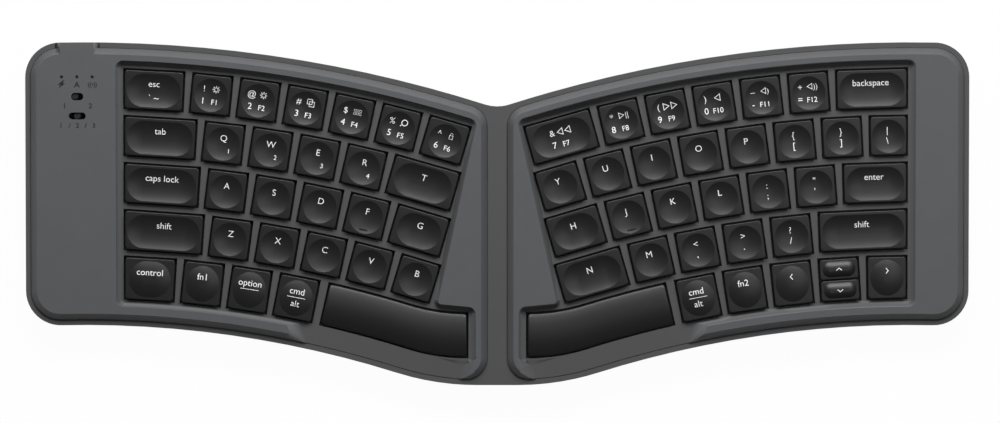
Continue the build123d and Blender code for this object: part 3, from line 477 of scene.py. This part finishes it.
CAP_TOP = 2.0
CAP_SKIRT = -1.0
CAP_WALL = 1.1
CAP_ROOF = 1.4
ROOF_INSET = 0.01
CAP_CORNER = 1.2
CAP_EDGE = 0.27
CAP_SIZE = 15.25
DISH_SIZE = 13.4
DISH_SAG = 1.08
DISH_SHIFT = 0.15
DISH_HUB = 0.6
DISH_RINGS = 9
DISH_SEGMENTS = 48
DOME_RISE = 1.0
PACKED_DISH = 12.9
WIDE_STRETCH = 0.65
OUTER_COLUMN = 120.0
SHORT_KEY = 10.0
SHORT_MARGIN = 1.7
PILL_MARGIN = 2.1
PILL_RISE = 1.1
ARC_CENTRE = (165.6, -462.11)
NUMBER_ROW_RADIUS = 512.5
ROW_PITCH = 18.9
THUMB_ROW = 4
HALF_COLUMN = 8
AREA_SHARE = 0.001
KEY_BLACK = 28


def plain(name, low, high, rough, metallic=0.0, patch=4.0, fine=0.7, spread=0.12):
    """A finish whose colour changes softly over patches, and its roughness over finer ones."""
    finish = Finish(name)
    finish.set(
        Base_Color=finish.mix(finish.noise(patch), shade(low), shade(high)),
        Metallic=metallic,
        Roughness=finish.noise(fine) * spread + rough,
    )
    return finish


key_plastic = plain("key_plastic", KEY_BLACK - 1, KEY_BLACK + 1, 0.36, patch=6.0, fine=0.4, spread=0.08)
key_plastic.grain(size=0.2, depth=0.004)


def islands(form):
    """The separate solids of a form, each as a list of its corners."""
    found = []
    met = set()
    for first in form.verts:
        if first in met:
            continue
        met.add(first)
        island = [first]
        for vert in island:
            for edge in vert.link_edges:
                other = edge.other_vert(vert)
                if other not in met:
                    met.add(other)
                    island.append(other)
        found.append(island)
    return found


def drops(vert):
    """Whether an upright edge runs down from a corner."""
    for edge in vert.link_edges:
        way = edge.other_vert(vert).co - vert.co
        if way.z < CAP_SKIRT and math.hypot(way.x, way.y) < SAME_HEIGHT:
            return True
    return False


class CapPlace:
    """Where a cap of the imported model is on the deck: its centre, turn, corners, row and dish's length."""

    def __init__(self, island):
        level = [vert for vert in island if abs(vert.co.z - CAP_TOP) < SAME_HEIGHT]
        corners = [vert.co.xy for vert in level if drops(vert)]
        dish = [vert.co.xy for vert in level if not drops(vert)]
        self.centre = sum(dish, Vector((0.0, 0.0))) / len(dish)
        inner = sorted(corners, key=lambda spot: abs(spot.x))[:2]
        inner.sort(key=lambda spot: spot.y)
        back = (inner[1] - inner[0]).normalized()
        self.turn = math.atan2(-back.x, back.y)
        self.depth = (inner[1] - inner[0]).length
        unturn = Matrix.Rotation(-self.turn, 2)
        local = [unturn @ (spot - self.centre) for spot in corners]
        self.corners = sorted(local, key=lambda spot: math.atan2(spot.y, spot.x))
        self.length = 2 * max((unturn @ (spot - self.centre)).x for spot in dish)
        side = math.copysign(1.0, self.centre.x)
        arc = Vector((side * ARC_CENTRE[0], ARC_CENTRE[1]))
        self.row = round((NUMBER_ROW_RADIUS - (self.centre - arc).length) / ROW_PITCH)
        self.short = self.depth < SHORT_KEY
        self.width = max(spot.x for spot in local) - min(spot.x for spot in local)
        self.shift = 0.0 if self.row == THUMB_ROW else -DISH_SHIFT

    def matrix(self):
        """From the cap's own plane to the deck."""
        return Matrix.Translation((self.centre.x, self.centre.y, 0)) @ Matrix.Rotation(self.turn, 4, "Z")


def cap_places(node):
    """The caps of a node, from the rear row to the front and from left to right."""
    form = copy_of(node)
    found = [CapPlace(island) for island in islands(form)]
    form.free()
    return sorted(found, key=lambda cap: (cap.row, round(cap.centre.x / HALF_COLUMN), -cap.centre.y))


def crown_of(cap):
    """A cap's dish or dome: its width, depth over width, half length of its straight middle, and rise."""
    if cap.short:
        size = cap.depth - SHORT_MARGIN
        return size, 1.0, (cap.width - PILL_MARGIN - size) / 2, PILL_RISE
    reach = max(cap.length - PACKED_DISH, 0.0) / 2
    if cap.row == THUMB_ROW:
        return DISH_SIZE, cap.depth / CAP_SIZE, reach, DOME_RISE
    if reach > WIDE_STRETCH and abs(cap.centre.x) > OUTER_COLUMN:
        reach += WIDE_STRETCH
    return DISH_SIZE, 1.0, reach, -DISH_SAG


def crown_height(cap, x, y):
    """The height of the cap's upper surface over a point of its own plane."""
    size, stretch, reach, rise = crown_of(cap)
    out = math.hypot(max(abs(x) - reach, 0.0), (y - cap.shift) / stretch)
    half = size / 2
    if out >= half:
        return CAP_TOP
    radius = (half**2 + rise**2) / (2 * abs(rise))
    swell = math.sqrt(radius**2 - out**2) - (radius - abs(rise))
    return CAP_TOP + math.copysign(swell, rise)


def hollow(form, faces):
    """Hollows a cap from below, so that a wall and a roof are left."""
    bmesh.ops.inset_region(form, faces=faces, thickness=CAP_WALL, use_even_offset=True)
    bmesh.ops.inset_region(
        form, faces=faces, thickness=ROOF_INSET, depth=CAP_ROOF - CAP_TOP + CAP_SKIRT, use_even_offset=True,
    )


def cap_form(cap):
    """The cap's body on its own plane."""
    form = bmesh.new()
    form.faces.new([form.verts.new((spot.x, spot.y, CAP_TOP)) for spot in cap.corners])
    bmesh.ops.bevel(
        form, geom=form.verts[:], offset=CAP_CORNER, affect="VERTICES", segments=5, profile=0.5, material=-1,
        clamp_overlap=True,
    )
    lowered = bmesh.ops.extrude_face_region(form, geom=form.faces[:], use_keep_orig=True)
    bmesh.ops.translate(form, verts=corners_of(lowered), vec=(0, 0, CAP_SKIRT - CAP_TOP))
    bmesh.ops.recalc_face_normals(form, faces=form.faces)
    round_edges(form, [edge for edge in form.edges if flat_height(edge, CAP_TOP)], CAP_EDGE, segments=3)
    hollow(form, [face for face in form.faces if face.normal.z < -LEVEL_NORMAL])
    crown(form, cap)
    return form


def crown(form, cap):
    """Cuts the dish, or raises the dome, in the cap's flat top."""
    top = max(form.faces, key=lambda face: face.calc_center_median().z + face.calc_area() * AREA_SHARE)
    rim = top.edges[:]
    bmesh.ops.delete(form, geom=[top], context="FACES_ONLY")
    size, stretch, reach, _ = crown_of(cap)
    half = size / 2
    ring = bmesh.ops.create_circle(form, segments=DISH_SEGMENTS, radius=half, cap_ends=False)["verts"]
    bmesh.ops.rotate(form, verts=ring, matrix=Matrix.Rotation(math.pi / DISH_SEGMENTS, 3, "Z"))
    for vert in ring:
        vert.co.x += math.copysign(reach, vert.co.x)
        vert.co.y = vert.co.y * stretch + cap.shift
        vert.co.z = CAP_TOP
    circle = [edge for edge in form.edges if edge.verts[0] in ring and edge.verts[1] in ring]
    bmesh.ops.triangle_fill(form, use_beauty=True, use_dissolve=False, edges=rim + circle, normal=(0, 0, 1))
    centre = bmesh.ops.contextual_create(form, geom=circle)["faces"]
    if centre[0].normal.z < 0:
        bmesh.ops.reverse_faces(form, faces=centre)
    for _ in range(DISH_RINGS):
        bmesh.ops.inset_region(
            form, faces=centre, thickness=(half - DISH_HUB) / DISH_RINGS, use_even_offset=True,
        )
        for vert in centre[0].verts:
            vert.co.z = crown_height(cap, vert.co.x, vert.co.y)
    for edge in circle:
        edge.smooth = False


def box(form, low, high):
    """Adds a box between two corners."""
    made = bmesh.ops.create_cube(form, size=1.0)["verts"]
    low, high = Vector(low), Vector(high)
    bmesh.ops.scale(form, verts=made, vec=high - low)
    bmesh.ops.translate(form, verts=made, vec=(low + high) / 2)
    return made


STEM_HALF = 2.0
STEM_FOOT = -6.0
STEM_SINK = 0.1
BARB_REACH = 0.4
BARB_HEIGHT = 0.9


def stem(form, x, y):
    """Adds the square plunger that runs in the guide frame, with the barb at its front."""
    front = y - STEM_HALF
    top = CAP_TOP - CAP_ROOF + STEM_SINK
    box(form, (x - STEM_HALF, front, STEM_FOOT), (x + STEM_HALF, y + STEM_HALF, top))
    barb_top = STEM_FOOT + BARB_HEIGHT
    barb = box(form, (x - STEM_HALF, front - BARB_REACH, STEM_FOOT), (x + STEM_HALF, front, barb_top))
    for vert in barb:
        if vert.co.y < front - BARB_REACH / 2 and vert.co.z < barb_top - BARB_HEIGHT / 2:
            vert.co.y = front - STEM_SINK


# Legends, and the caps that carry them
# White ink is printed on each cap and follows its dish or dome: letters, numbers, plain signs and words. Both
# keys under the forefingers have a small raised bar.

INK_LIFT = 0.035
INK_THIN = 0.004
RIGHT_SHIFT = -0.45
SIGNS = "☼⧉⌕◁▷"
LEGEND_WHITE = 250

legend_ink = Finish("legend_ink")
legend_ink.set(Base_Color=shade(LEGEND_WHITE), Roughness=legend_ink.noise(0.3) * 0.1 + 0.45)


def drape(form, cap, ink):
    """Lays flat ink on the cap's surface and joins it to the cap."""
    for vert in ink.verts:
        vert.co.z += crown_height(cap, vert.co.x, vert.co.y) + INK_LIFT
    join(form, ink, Matrix.Identity(4), material=1)


def print_mark(form, cap, text, x, y, height):
    """Prints a legend with its capitals centred on a point of the cap, or a sign of the given height."""
    ink = lettering(text, height, -INK_THIN * height)
    if text[0] in SIGNS:
        low = min(vert.co.y for vert in ink.verts)
        high = max(vert.co.y for vert in ink.verts)
        size = height / (high - low)
        bmesh.ops.scale(ink, verts=ink.verts, vec=(size, size, 1.0))
        bmesh.ops.translate(ink, verts=ink.verts, vec=(0.0, -size * low, 0.0))
    shift = RIGHT_SHIFT if cap.centre.x > 0 else 0.0
    bmesh.ops.translate(ink, verts=ink.verts, vec=(x + shift, y - height / 2, 0.0))
    drape(form, cap, ink)


RULE_SIZE = (7.4, 0.2)
RULE_STEPS = 12


def print_rule(form, cap, y):
    """Prints the thin rule under a word."""
    ink = bmesh.new()
    bmesh.ops.create_grid(ink, x_segments=RULE_STEPS, y_segments=1, size=0.5)
    bmesh.ops.scale(ink, verts=ink.verts, vec=(RULE_SIZE[0], RULE_SIZE[1], 1.0))
    bmesh.ops.translate(ink, verts=ink.verts, vec=(0.0, y, -INK_HALF))
    lifted = bmesh.ops.extrude_face_region(ink, geom=ink.faces[:], use_keep_orig=True)
    bmesh.ops.translate(ink, verts=corners_of(lifted), vec=(0, 0, 2 * INK_HALF))
    bmesh.ops.recalc_face_normals(ink, faces=ink.faces)
    drape(form, cap, ink)


ARROW_REACH = 1.1
ARROW_HALF = 0.9
ARROW_THICK = 0.28
ARROW_LEAD = 0.5
ARROW_SPOT = 2.9
ARROW_MIDDLE = 125.0


def print_arrow(form, cap):
    """Prints the arrow head of an arrow key: up and down on the short keys, left and right on the others."""
    turn = 0.0
    if cap.short:
        turn = math.pi / 2 if cap.up else -math.pi / 2
    elif cap.centre.x < ARROW_MIDDLE:
        turn = math.pi
    ink = bmesh.new()
    length = math.hypot(ARROW_REACH, ARROW_HALF)
    thick = ARROW_THICK / 2
    for sign in (-1, 1):
        bar = box(ink, (-length, -thick, -INK_HALF), (thick, thick, INK_HALF))
        lean = Matrix.Rotation(sign * math.atan2(ARROW_REACH, ARROW_HALF), 3, "Z")
        bmesh.ops.rotate(ink, verts=bar, matrix=lean)
    bmesh.ops.translate(ink, verts=ink.verts, vec=(ARROW_LEAD, 0.0, 0.0))
    bmesh.ops.rotate(ink, verts=ink.verts, matrix=Matrix.Rotation(turn, 3, "Z"))
    y = cap.shift + (0.0 if cap.short else ARROW_SPOT)
    bmesh.ops.translate(ink, verts=ink.verts, vec=(0.0, y, 0.0))
    drape(form, cap, ink)


LETTER_HEIGHT = 2.5
SIGN_HEIGHT = 3.1
NUMBER_MARKS = {
    "left_number_keys": [
        "! ☼ 1 F1", "@ ☼ 2 F2", "# ⧉ 3 F3", "$ grid 4 F4", "% ⌕ 5 F5", "^ lock 6 F6",
    ],
    "right_number_keys": [
        "& ◁◁ 7 F7", "* ▷|| 8 F8", "( ▷▷ 9 F9", ") ◁ 0 F10", "– ◁) - F11", "+ ◁)) = F12",
    ],
}
NUMBER_SPOTS = ((-2.9, 2.3, 2.4), (1.9, 2.2, SIGN_HEIGHT), (-3.1, -2.6, 2.5), (1.6, -2.9, 2.05))
BUILT_SIGNS = {
    "lock": [("□", -0.5, 1.5), ("∩", 0.75, 1.2)],
    "grid": [("□□□", 0.62, 0.85), ("□□□", -0.62, 0.85)],
}
PAIR_MARKS = {"punctuation_keys": ": ; \" ' < , > . ? /", "bracket_keys": "{ [ } ] | \\"}
PAIR_SPOTS = (2.3, -1.9)
WORD_MARKS = {
    "key_esc": "esc", "key_tab": "tab", "key_caps_lock": "caps lock", "key_left_shift": "shift",
    "key_backspace": "backspace", "key_enter": "enter", "key_right_shift": "shift",
}
WORD_SPOT = 2.6
TILDE_SPOT = -3.0
MODIFIER_MARKS = {
    "left_modifier_keys": ["control", "fn1", "option/", "cmd/alt"],
    "right_modifier_keys": ["cmd/alt", "fn2"],
}
MODIFIER_SPOTS = (2.9, 0.35, -2.1)
LETTER_SPOT = 2.1
SMALL_NUMBERS = {"key_q": "1", "key_w": "2", "key_e": "3", "key_r": "4"}
SMALL_SPOT = (2.4, -2.9, 1.8)


def print_number_key(form, cap, marks):
    """Prints a number key's four legends: two characters, a sign and a function."""
    for mark, (x, y, height) in zip(marks.split(), NUMBER_SPOTS):
        for part, lift, size in BUILT_SIGNS.get(mark, [(mark, 0.0, height)]):
            print_mark(form, cap, part, x, y + lift, size)


def print_modifier(form, cap, words):
    """Prints one word, or two words with a rule between them."""
    upper, rule, lower = words.partition("/")
    print_mark(form, cap, upper, 0.0, MODIFIER_SPOTS[0], LETTER_HEIGHT)
    if rule:
        print_rule(form, cap, MODIFIER_SPOTS[1])
    if lower:
        print_mark(form, cap, lower, 0.0, MODIFIER_SPOTS[2], LETTER_HEIGHT)


def print_key(form, cap, node, index):
    """Prints what one key of a node shows."""
    if node in NUMBER_MARKS:
        print_number_key(form, cap, NUMBER_MARKS[node][index])
    elif node in PAIR_MARKS:
        pair = PAIR_MARKS[node].split()[2 * index:2 * index + 2]
        for mark, y in zip(pair, PAIR_SPOTS):
            print_mark(form, cap, mark, 0.0, y, LETTER_HEIGHT)
    elif node in WORD_MARKS:
        print_mark(form, cap, WORD_MARKS[node], 0.0, WORD_SPOT, LETTER_HEIGHT)
    elif node in MODIFIER_MARKS:
        print_modifier(form, cap, MODIFIER_MARKS[node][index])
    elif node == "arrow_keys":
        print_arrow(form, cap)
    else:
        print_mark(form, cap, node[-1].upper(), 0.0, LETTER_SPOT, LETTER_HEIGHT)
    if node in SMALL_NUMBERS:
        print_mark(form, cap, SMALL_NUMBERS[node], *SMALL_SPOT)
    if node == "key_esc":
        print_mark(form, cap, "` ~", 0.0, TILDE_SPOT, LETTER_HEIGHT)


HOME_KEYS = ("key_f", "key_j")
HOME_BAR = (3.2, 0.5, 0.35)
HOME_BAR_SPOT = -5.3


def home_bar(form, cap):
    """Adds the raised bar that a forefinger finds its key by."""
    width, depth, height = HOME_BAR
    level = crown_height(cap, 0.0, HOME_BAR_SPOT)
    box(
        form, (-width / 2, HOME_BAR_SPOT - depth / 2, level - height),
        (width / 2, HOME_BAR_SPOT + depth / 2, level + height),
    )


stem_spots = {}
for node in sorted(nodes):
    if node == "key_frames" or not (node.startswith("key_") or node.endswith("_keys")):
        continue
    whole = bmesh.new()
    places = cap_places(node)
    stem_spots[node] = [cap.centre for cap in places]
    for index, cap in enumerate(places):
        cap.up = cap.short and all(other.centre.y <= cap.centre.y for other in places if other.short)
        form = cap_form(cap)
        stem(form, 0.0, 0.0)
        if node in HOME_KEYS:
            home_bar(form, cap)
        print_key(form, cap, node, index)
        join(whole, form, cap.matrix())
    piece_from(whole, f"{node}_cap", deck_to_case, [key_plastic, legend_ink], node)

# Space bars
# Each thumb bar is one long hollow cap of the keys' plastic that follows the front row and levels out towards
# the middle. It has no dish: its top swells over the whole depth, and three plungers carry it.

BAR_INNER_EDGE = 12.3
BAR_ROW_RADIUS = 436.6
BAR_OUTER_ARC = 97.45
BAR_OUTER_ANGLE = BAR_OUTER_ARC / BAR_ROW_RADIUS
BAR_DEPTH = 16.5
BAR_BLEND = 78.0
BAR_RISE = 1.35
BAR_CELLS = (40, 12)
BAR_CORNER = 1.2
BAR_CORNER_BEND = 1.0
BAR_EDGE = 0.5
BAR_EDGE_BEND = 0.9
BAR_POSTS = 46.0
MANY_CORNERS = 20


def bar_point(side, along, across):
    """A point of the bar's face: along from its inner end (0 to 1) and across from its front (-1 to 1)."""
    radius = BAR_ROW_RADIUS + across * BAR_DEPTH / 2
    outer = ARC_CENTRE[0] - radius * math.sin(BAR_OUTER_ANGLE)
    x = BAR_INNER_EDGE + along * (outer - BAR_INNER_EDGE)
    meet = math.asin((ARC_CENTRE[0] - BAR_INNER_EDGE) / (radius + BAR_BLEND))
    if x > ARC_CENTRE[0] - radius * math.sin(meet):
        y = ARC_CENTRE[1] + math.sqrt(radius**2 - (ARC_CENTRE[0] - x)**2)
    else:
        level = ARC_CENTRE[1] + (radius + BAR_BLEND) * math.cos(meet)
        y = level - math.sqrt(BAR_BLEND**2 - (x - BAR_INNER_EDGE)**2)
    return side * x, y


def turns(edge, least):
    """Whether two faces meet at an edge and turn there by more than an angle in radians."""
    return len(edge.link_faces) == 2 and edge.calc_face_angle() > least


for name, side in (("left_space_bar", -1), ("right_space_bar", 1)):
    form = bmesh.new()
    bmesh.ops.create_grid(form, x_segments=BAR_CELLS[0], y_segments=BAR_CELLS[1], size=1.0)
    for vert in form.verts:
        across = vert.co.y
        x, y = bar_point(side, (vert.co.x + 1) / 2, across)
        vert.co = (x, y, CAP_TOP - BAR_RISE * across**2)
    border = [edge for edge in form.edges if edge.is_boundary]
    for vert in corners_of(bmesh.ops.extrude_edge_only(form, edges=border)):
        vert.co.z = CAP_SKIRT
    bmesh.ops.contextual_create(form, geom=[edge for edge in form.edges if edge.is_boundary])
    bmesh.ops.recalc_face_normals(form, faces=form.faces)
    upright = [
        edge for edge in form.edges if turns(edge, BAR_CORNER_BEND)
        and abs((edge.verts[0].co - edge.verts[1].co).normalized().z) > LEVEL_NORMAL
    ]
    round_edges(form, upright, BAR_CORNER, segments=4)
    brow = [
        edge for edge in form.edges if turns(edge, BAR_EDGE_BEND)
        and min(vert.co.z for vert in edge.verts) > CAP_SKIRT + BAR_EDGE
    ]
    round_edges(form, brow, BAR_EDGE, segments=3)
    under = [face for face in form.faces if face.normal.z < -LEVEL_NORMAL and len(face.verts) > MANY_CORNERS]
    hollow(form, under)
    step = BAR_POSTS / (abs(bar_point(side, 1.0, 0.0)[0]) - BAR_INNER_EDGE) / 2
    stem_spots[name] = [Vector(bar_point(side, 0.5 + count * step, 0.0)) for count in (-1, 0, 1)]
    for spot in stem_spots[name]:
        stem(form, spot.x, spot.y)
    piece_from(form, f"{name}_cap", deck_to_case, [key_plastic], name)

# Feet and pads
# Two folding feet of black plastic lie in pockets under the rear edge and turn on pins. Eight soft rubber
# pads are glued into shallow recesses, and the keyboard stands on them.


def softened(node, name, finish, width):
    """A piece that is a merged copy of a node with small rounded edges."""
    soften(piece_from(copy_of(node), name, deck_to_case, [finish], node, smooth=40.0), width)


foot_plastic = plain("foot_plastic", 38, 42, 0.5, patch=5.0, fine=0.4, spread=0.1)
foot_plastic.grain(size=0.3, depth=0.01)
pad_rubber = plain("pad_rubber", 30, 37, 0.75, patch=3.0, fine=0.6, spread=0.1)
pad_rubber.grain(size=0.5, depth=0.02)
softened("left_tilt_foot", "left_foot_bar", foot_plastic, width=0.3)
softened("right_tilt_foot", "right_foot_bar", foot_plastic, width=0.3)
softened("rubber_pads", "pads", pad_rubber, width=0.3)

# Screws
# Six steel screws hold the tub to the wings, in three lengths because the deck is tilted. Their flat heads
# sit in wells under the tub and have a cross recess, and the shanks end in a blunt tip.

SCREW_HEAD = 2.1
HEAD_HEIGHT = 1.4
CROSS_REACH = 1.15
CROSS_HALF = 0.3
CROSS_DEPTH = 0.8
TAPER = 0.6
TIP_HEIGHT = 0.5
SCREW_SIDES = 24

screw_steel = plain("screw_steel", 120, 135, 0.28, metallic=1.0, patch=0.8, fine=0.5, spread=0.15)


def lift_loop(form, edges, size, rise):
    """Extrudes a loop of edges, scaled about the screw's axis and raised."""
    upper = corners_of(bmesh.ops.extrude_edge_only(form, edges=edges))
    bmesh.ops.scale(form, verts=upper, vec=(size, size, 1.0))
    bmesh.ops.translate(form, verts=upper, vec=(0, 0, rise))


def screw_form(shank, length):
    """A screw that stands on its head, on the origin."""
    form = bmesh.new()
    bmesh.ops.create_circle(form, segments=SCREW_SIDES, radius=SCREW_HEAD, cap_ends=False)
    rim = form.edges[:]
    corners = []
    for quarter in range(4):
        turn = Matrix.Rotation(quarter * math.pi / 2, 2)
        arm = ((CROSS_REACH, -CROSS_HALF), (CROSS_REACH, CROSS_HALF), (CROSS_HALF, CROSS_HALF))
        corners += [turn @ Vector(spot) for spot in arm]
    cross = [form.verts.new((spot.x, spot.y, 0.0)) for spot in corners]
    outline = [form.edges.new((cross[index - 1], cross[index])) for index in range(len(cross))]
    bmesh.ops.triangle_fill(form, use_beauty=True, use_dissolve=False, edges=rim + outline, normal=(0, 0, -1))
    recess = bmesh.ops.contextual_create(form, geom=outline)["faces"]
    sunk = corners_of(bmesh.ops.extrude_face_region(form, geom=recess))
    bmesh.ops.translate(form, verts=sunk, vec=(0, 0, CROSS_DEPTH))
    bmesh.ops.scale(form, verts=sunk, vec=(TAPER, TAPER, 1.0))
    bmesh.ops.delete(form, geom=[face for face in recess if face.is_valid], context="FACES_ONLY")
    lift_loop(form, rim, 1.0, HEAD_HEIGHT)
    stages = ((shank / SCREW_HEAD, 0.0), (1.0, length - HEAD_HEIGHT - TIP_HEIGHT), (TAPER, TIP_HEIGHT))
    for size, rise in stages:
        lift_loop(form, [edge for edge in form.edges if edge.is_boundary], size, rise)
    bmesh.ops.contextual_create(form, geom=[edge for edge in form.edges if edge.is_boundary])
    bmesh.ops.recalc_face_normals(form, faces=form.faces)
    return form


screws = bmesh.new()
packed = bmesh.new()
packed.from_mesh(nodes["case_screws"].data)
packed.transform(Matrix.Scale(1 / MM, 4))
bmesh.ops.remove_doubles(packed, verts=packed.verts, dist=MERGE)
for island in islands(packed):
    low = min(vert.co.z for vert in island)
    high = max(vert.co.z for vert in island)
    base = [vert.co for vert in island if vert.co.z < low + SAME_HEIGHT]
    middle = sum(base, Vector()) / len(base)
    shank = max((vert.co.xy - middle.xy).length for vert in island if vert.co.z > high - TIP_HEIGHT)
    join(screws, screw_form(shank, high - low), Matrix.Translation((middle.x, middle.y, low)))
packed.free()
piece_from(screws, "screws", Matrix.Scale(MM, 4), [screw_steel], "case_screws")

# Switch sliders and indicator lights
# Two small dark knobs slide in oval slots of the left bezel, each on a plate that keeps it in its slot. Three
# light pipes of smoked plastic run up from the board and end in small holes behind them.

switch_plastic = plain("switch_plastic", 34, 40, 0.3, patch=1.0, fine=0.3, spread=0.1)
light_pipe = plain("light_pipe", 20, 28, 0.25, patch=0.6, fine=0.3, spread=0.1)
softened("system_switch_slider", "system_knob", switch_plastic, width=0.2)
softened("link_switch_slider", "link_knob", switch_plastic, width=0.2)
softened("indicator_lights", "light_pipes", light_pipe, width=0.1)

# Port
# The charging socket is a drawn steel shell around a tongue with the contacts. It is soldered to the board
# behind an opening in the rear wall.

socket_steel = plain("socket_steel", 165, 180, 0.25, metallic=1.0, patch=1.5, fine=0.6, spread=0.15)
softened("usb_socket", "port_shell", socket_steel, width=0.08)

# Layers under the keys and electronics
# A moulded guide frame, a rubber dome sheet, a printed switch sheet and a steel plate lie under each well.
# The board, the flat battery and the ribbon cable share the room below them.

guide_plastic = plain("guide_plastic", 24, 30, 0.5)
circuit_foil = plain("circuit_foil", (196, 200, 196), (208, 212, 206), 0.3)
steel_sheet = plain("steel_sheet", 150, 170, 0.32, metallic=1.0)
circuit_board = plain("circuit_board", (18, 74, 46), (22, 84, 52), 0.4)
cell_wrap = plain("cell_wrap", (176, 178, 182), (190, 192, 196), 0.3)
ribbon_foil = plain("ribbon_foil", (186, 132, 52), (198, 146, 64), 0.35)
softened("key_frames", "guide_frames", guide_plastic, width=0.1)
softened("membranes", "switch_sheets", circuit_foil, width=0.03)
softened("support_plates", "plates", steel_sheet, width=0.05)
softened("controller_board", "board", circuit_board, width=0.05)
softened("battery", "cell", cell_wrap, width=0.4)
softened("ribbon_cable", "ribbon", ribbon_foil, width=0.03)

# Rubber domes
# Each well has one moulded rubber sheet with a dome under every plunger. A dome is the key's spring: it folds
# flat while the key goes down and throws it back up.

SHEET_TOP = -8.1
DOME_TOP = -6.1
DOME_FOOT = 2.8
DOME_CROWN = 1.8
DOME_SIDES = 20

dome_rubber = plain("dome_rubber", 150, 165, 0.6)
sheets = copy_of("dome_sheets")
for vert in sheets.verts:
    vert.co.z = min(vert.co.z, SHEET_TOP)
piece_from(sheets, "sheets", deck_to_case, [dome_rubber], "dome_sheets")

for node, spots in stem_spots.items():
    domes = bmesh.new()
    for spot in spots:
        dome = bmesh.ops.create_cone(
            domes, cap_ends=True, segments=DOME_SIDES, radius1=DOME_FOOT, radius2=DOME_CROWN,
            depth=DOME_TOP - SHEET_TOP,
        )["verts"]
        bmesh.ops.translate(domes, verts=dome, vec=(spot.x, spot.y, (DOME_TOP + SHEET_TOP) / 2))
    piece = piece_from(domes, f"{node}_domes", deck_to_case, [dome_rubber], "dome_sheets")
    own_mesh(piece)
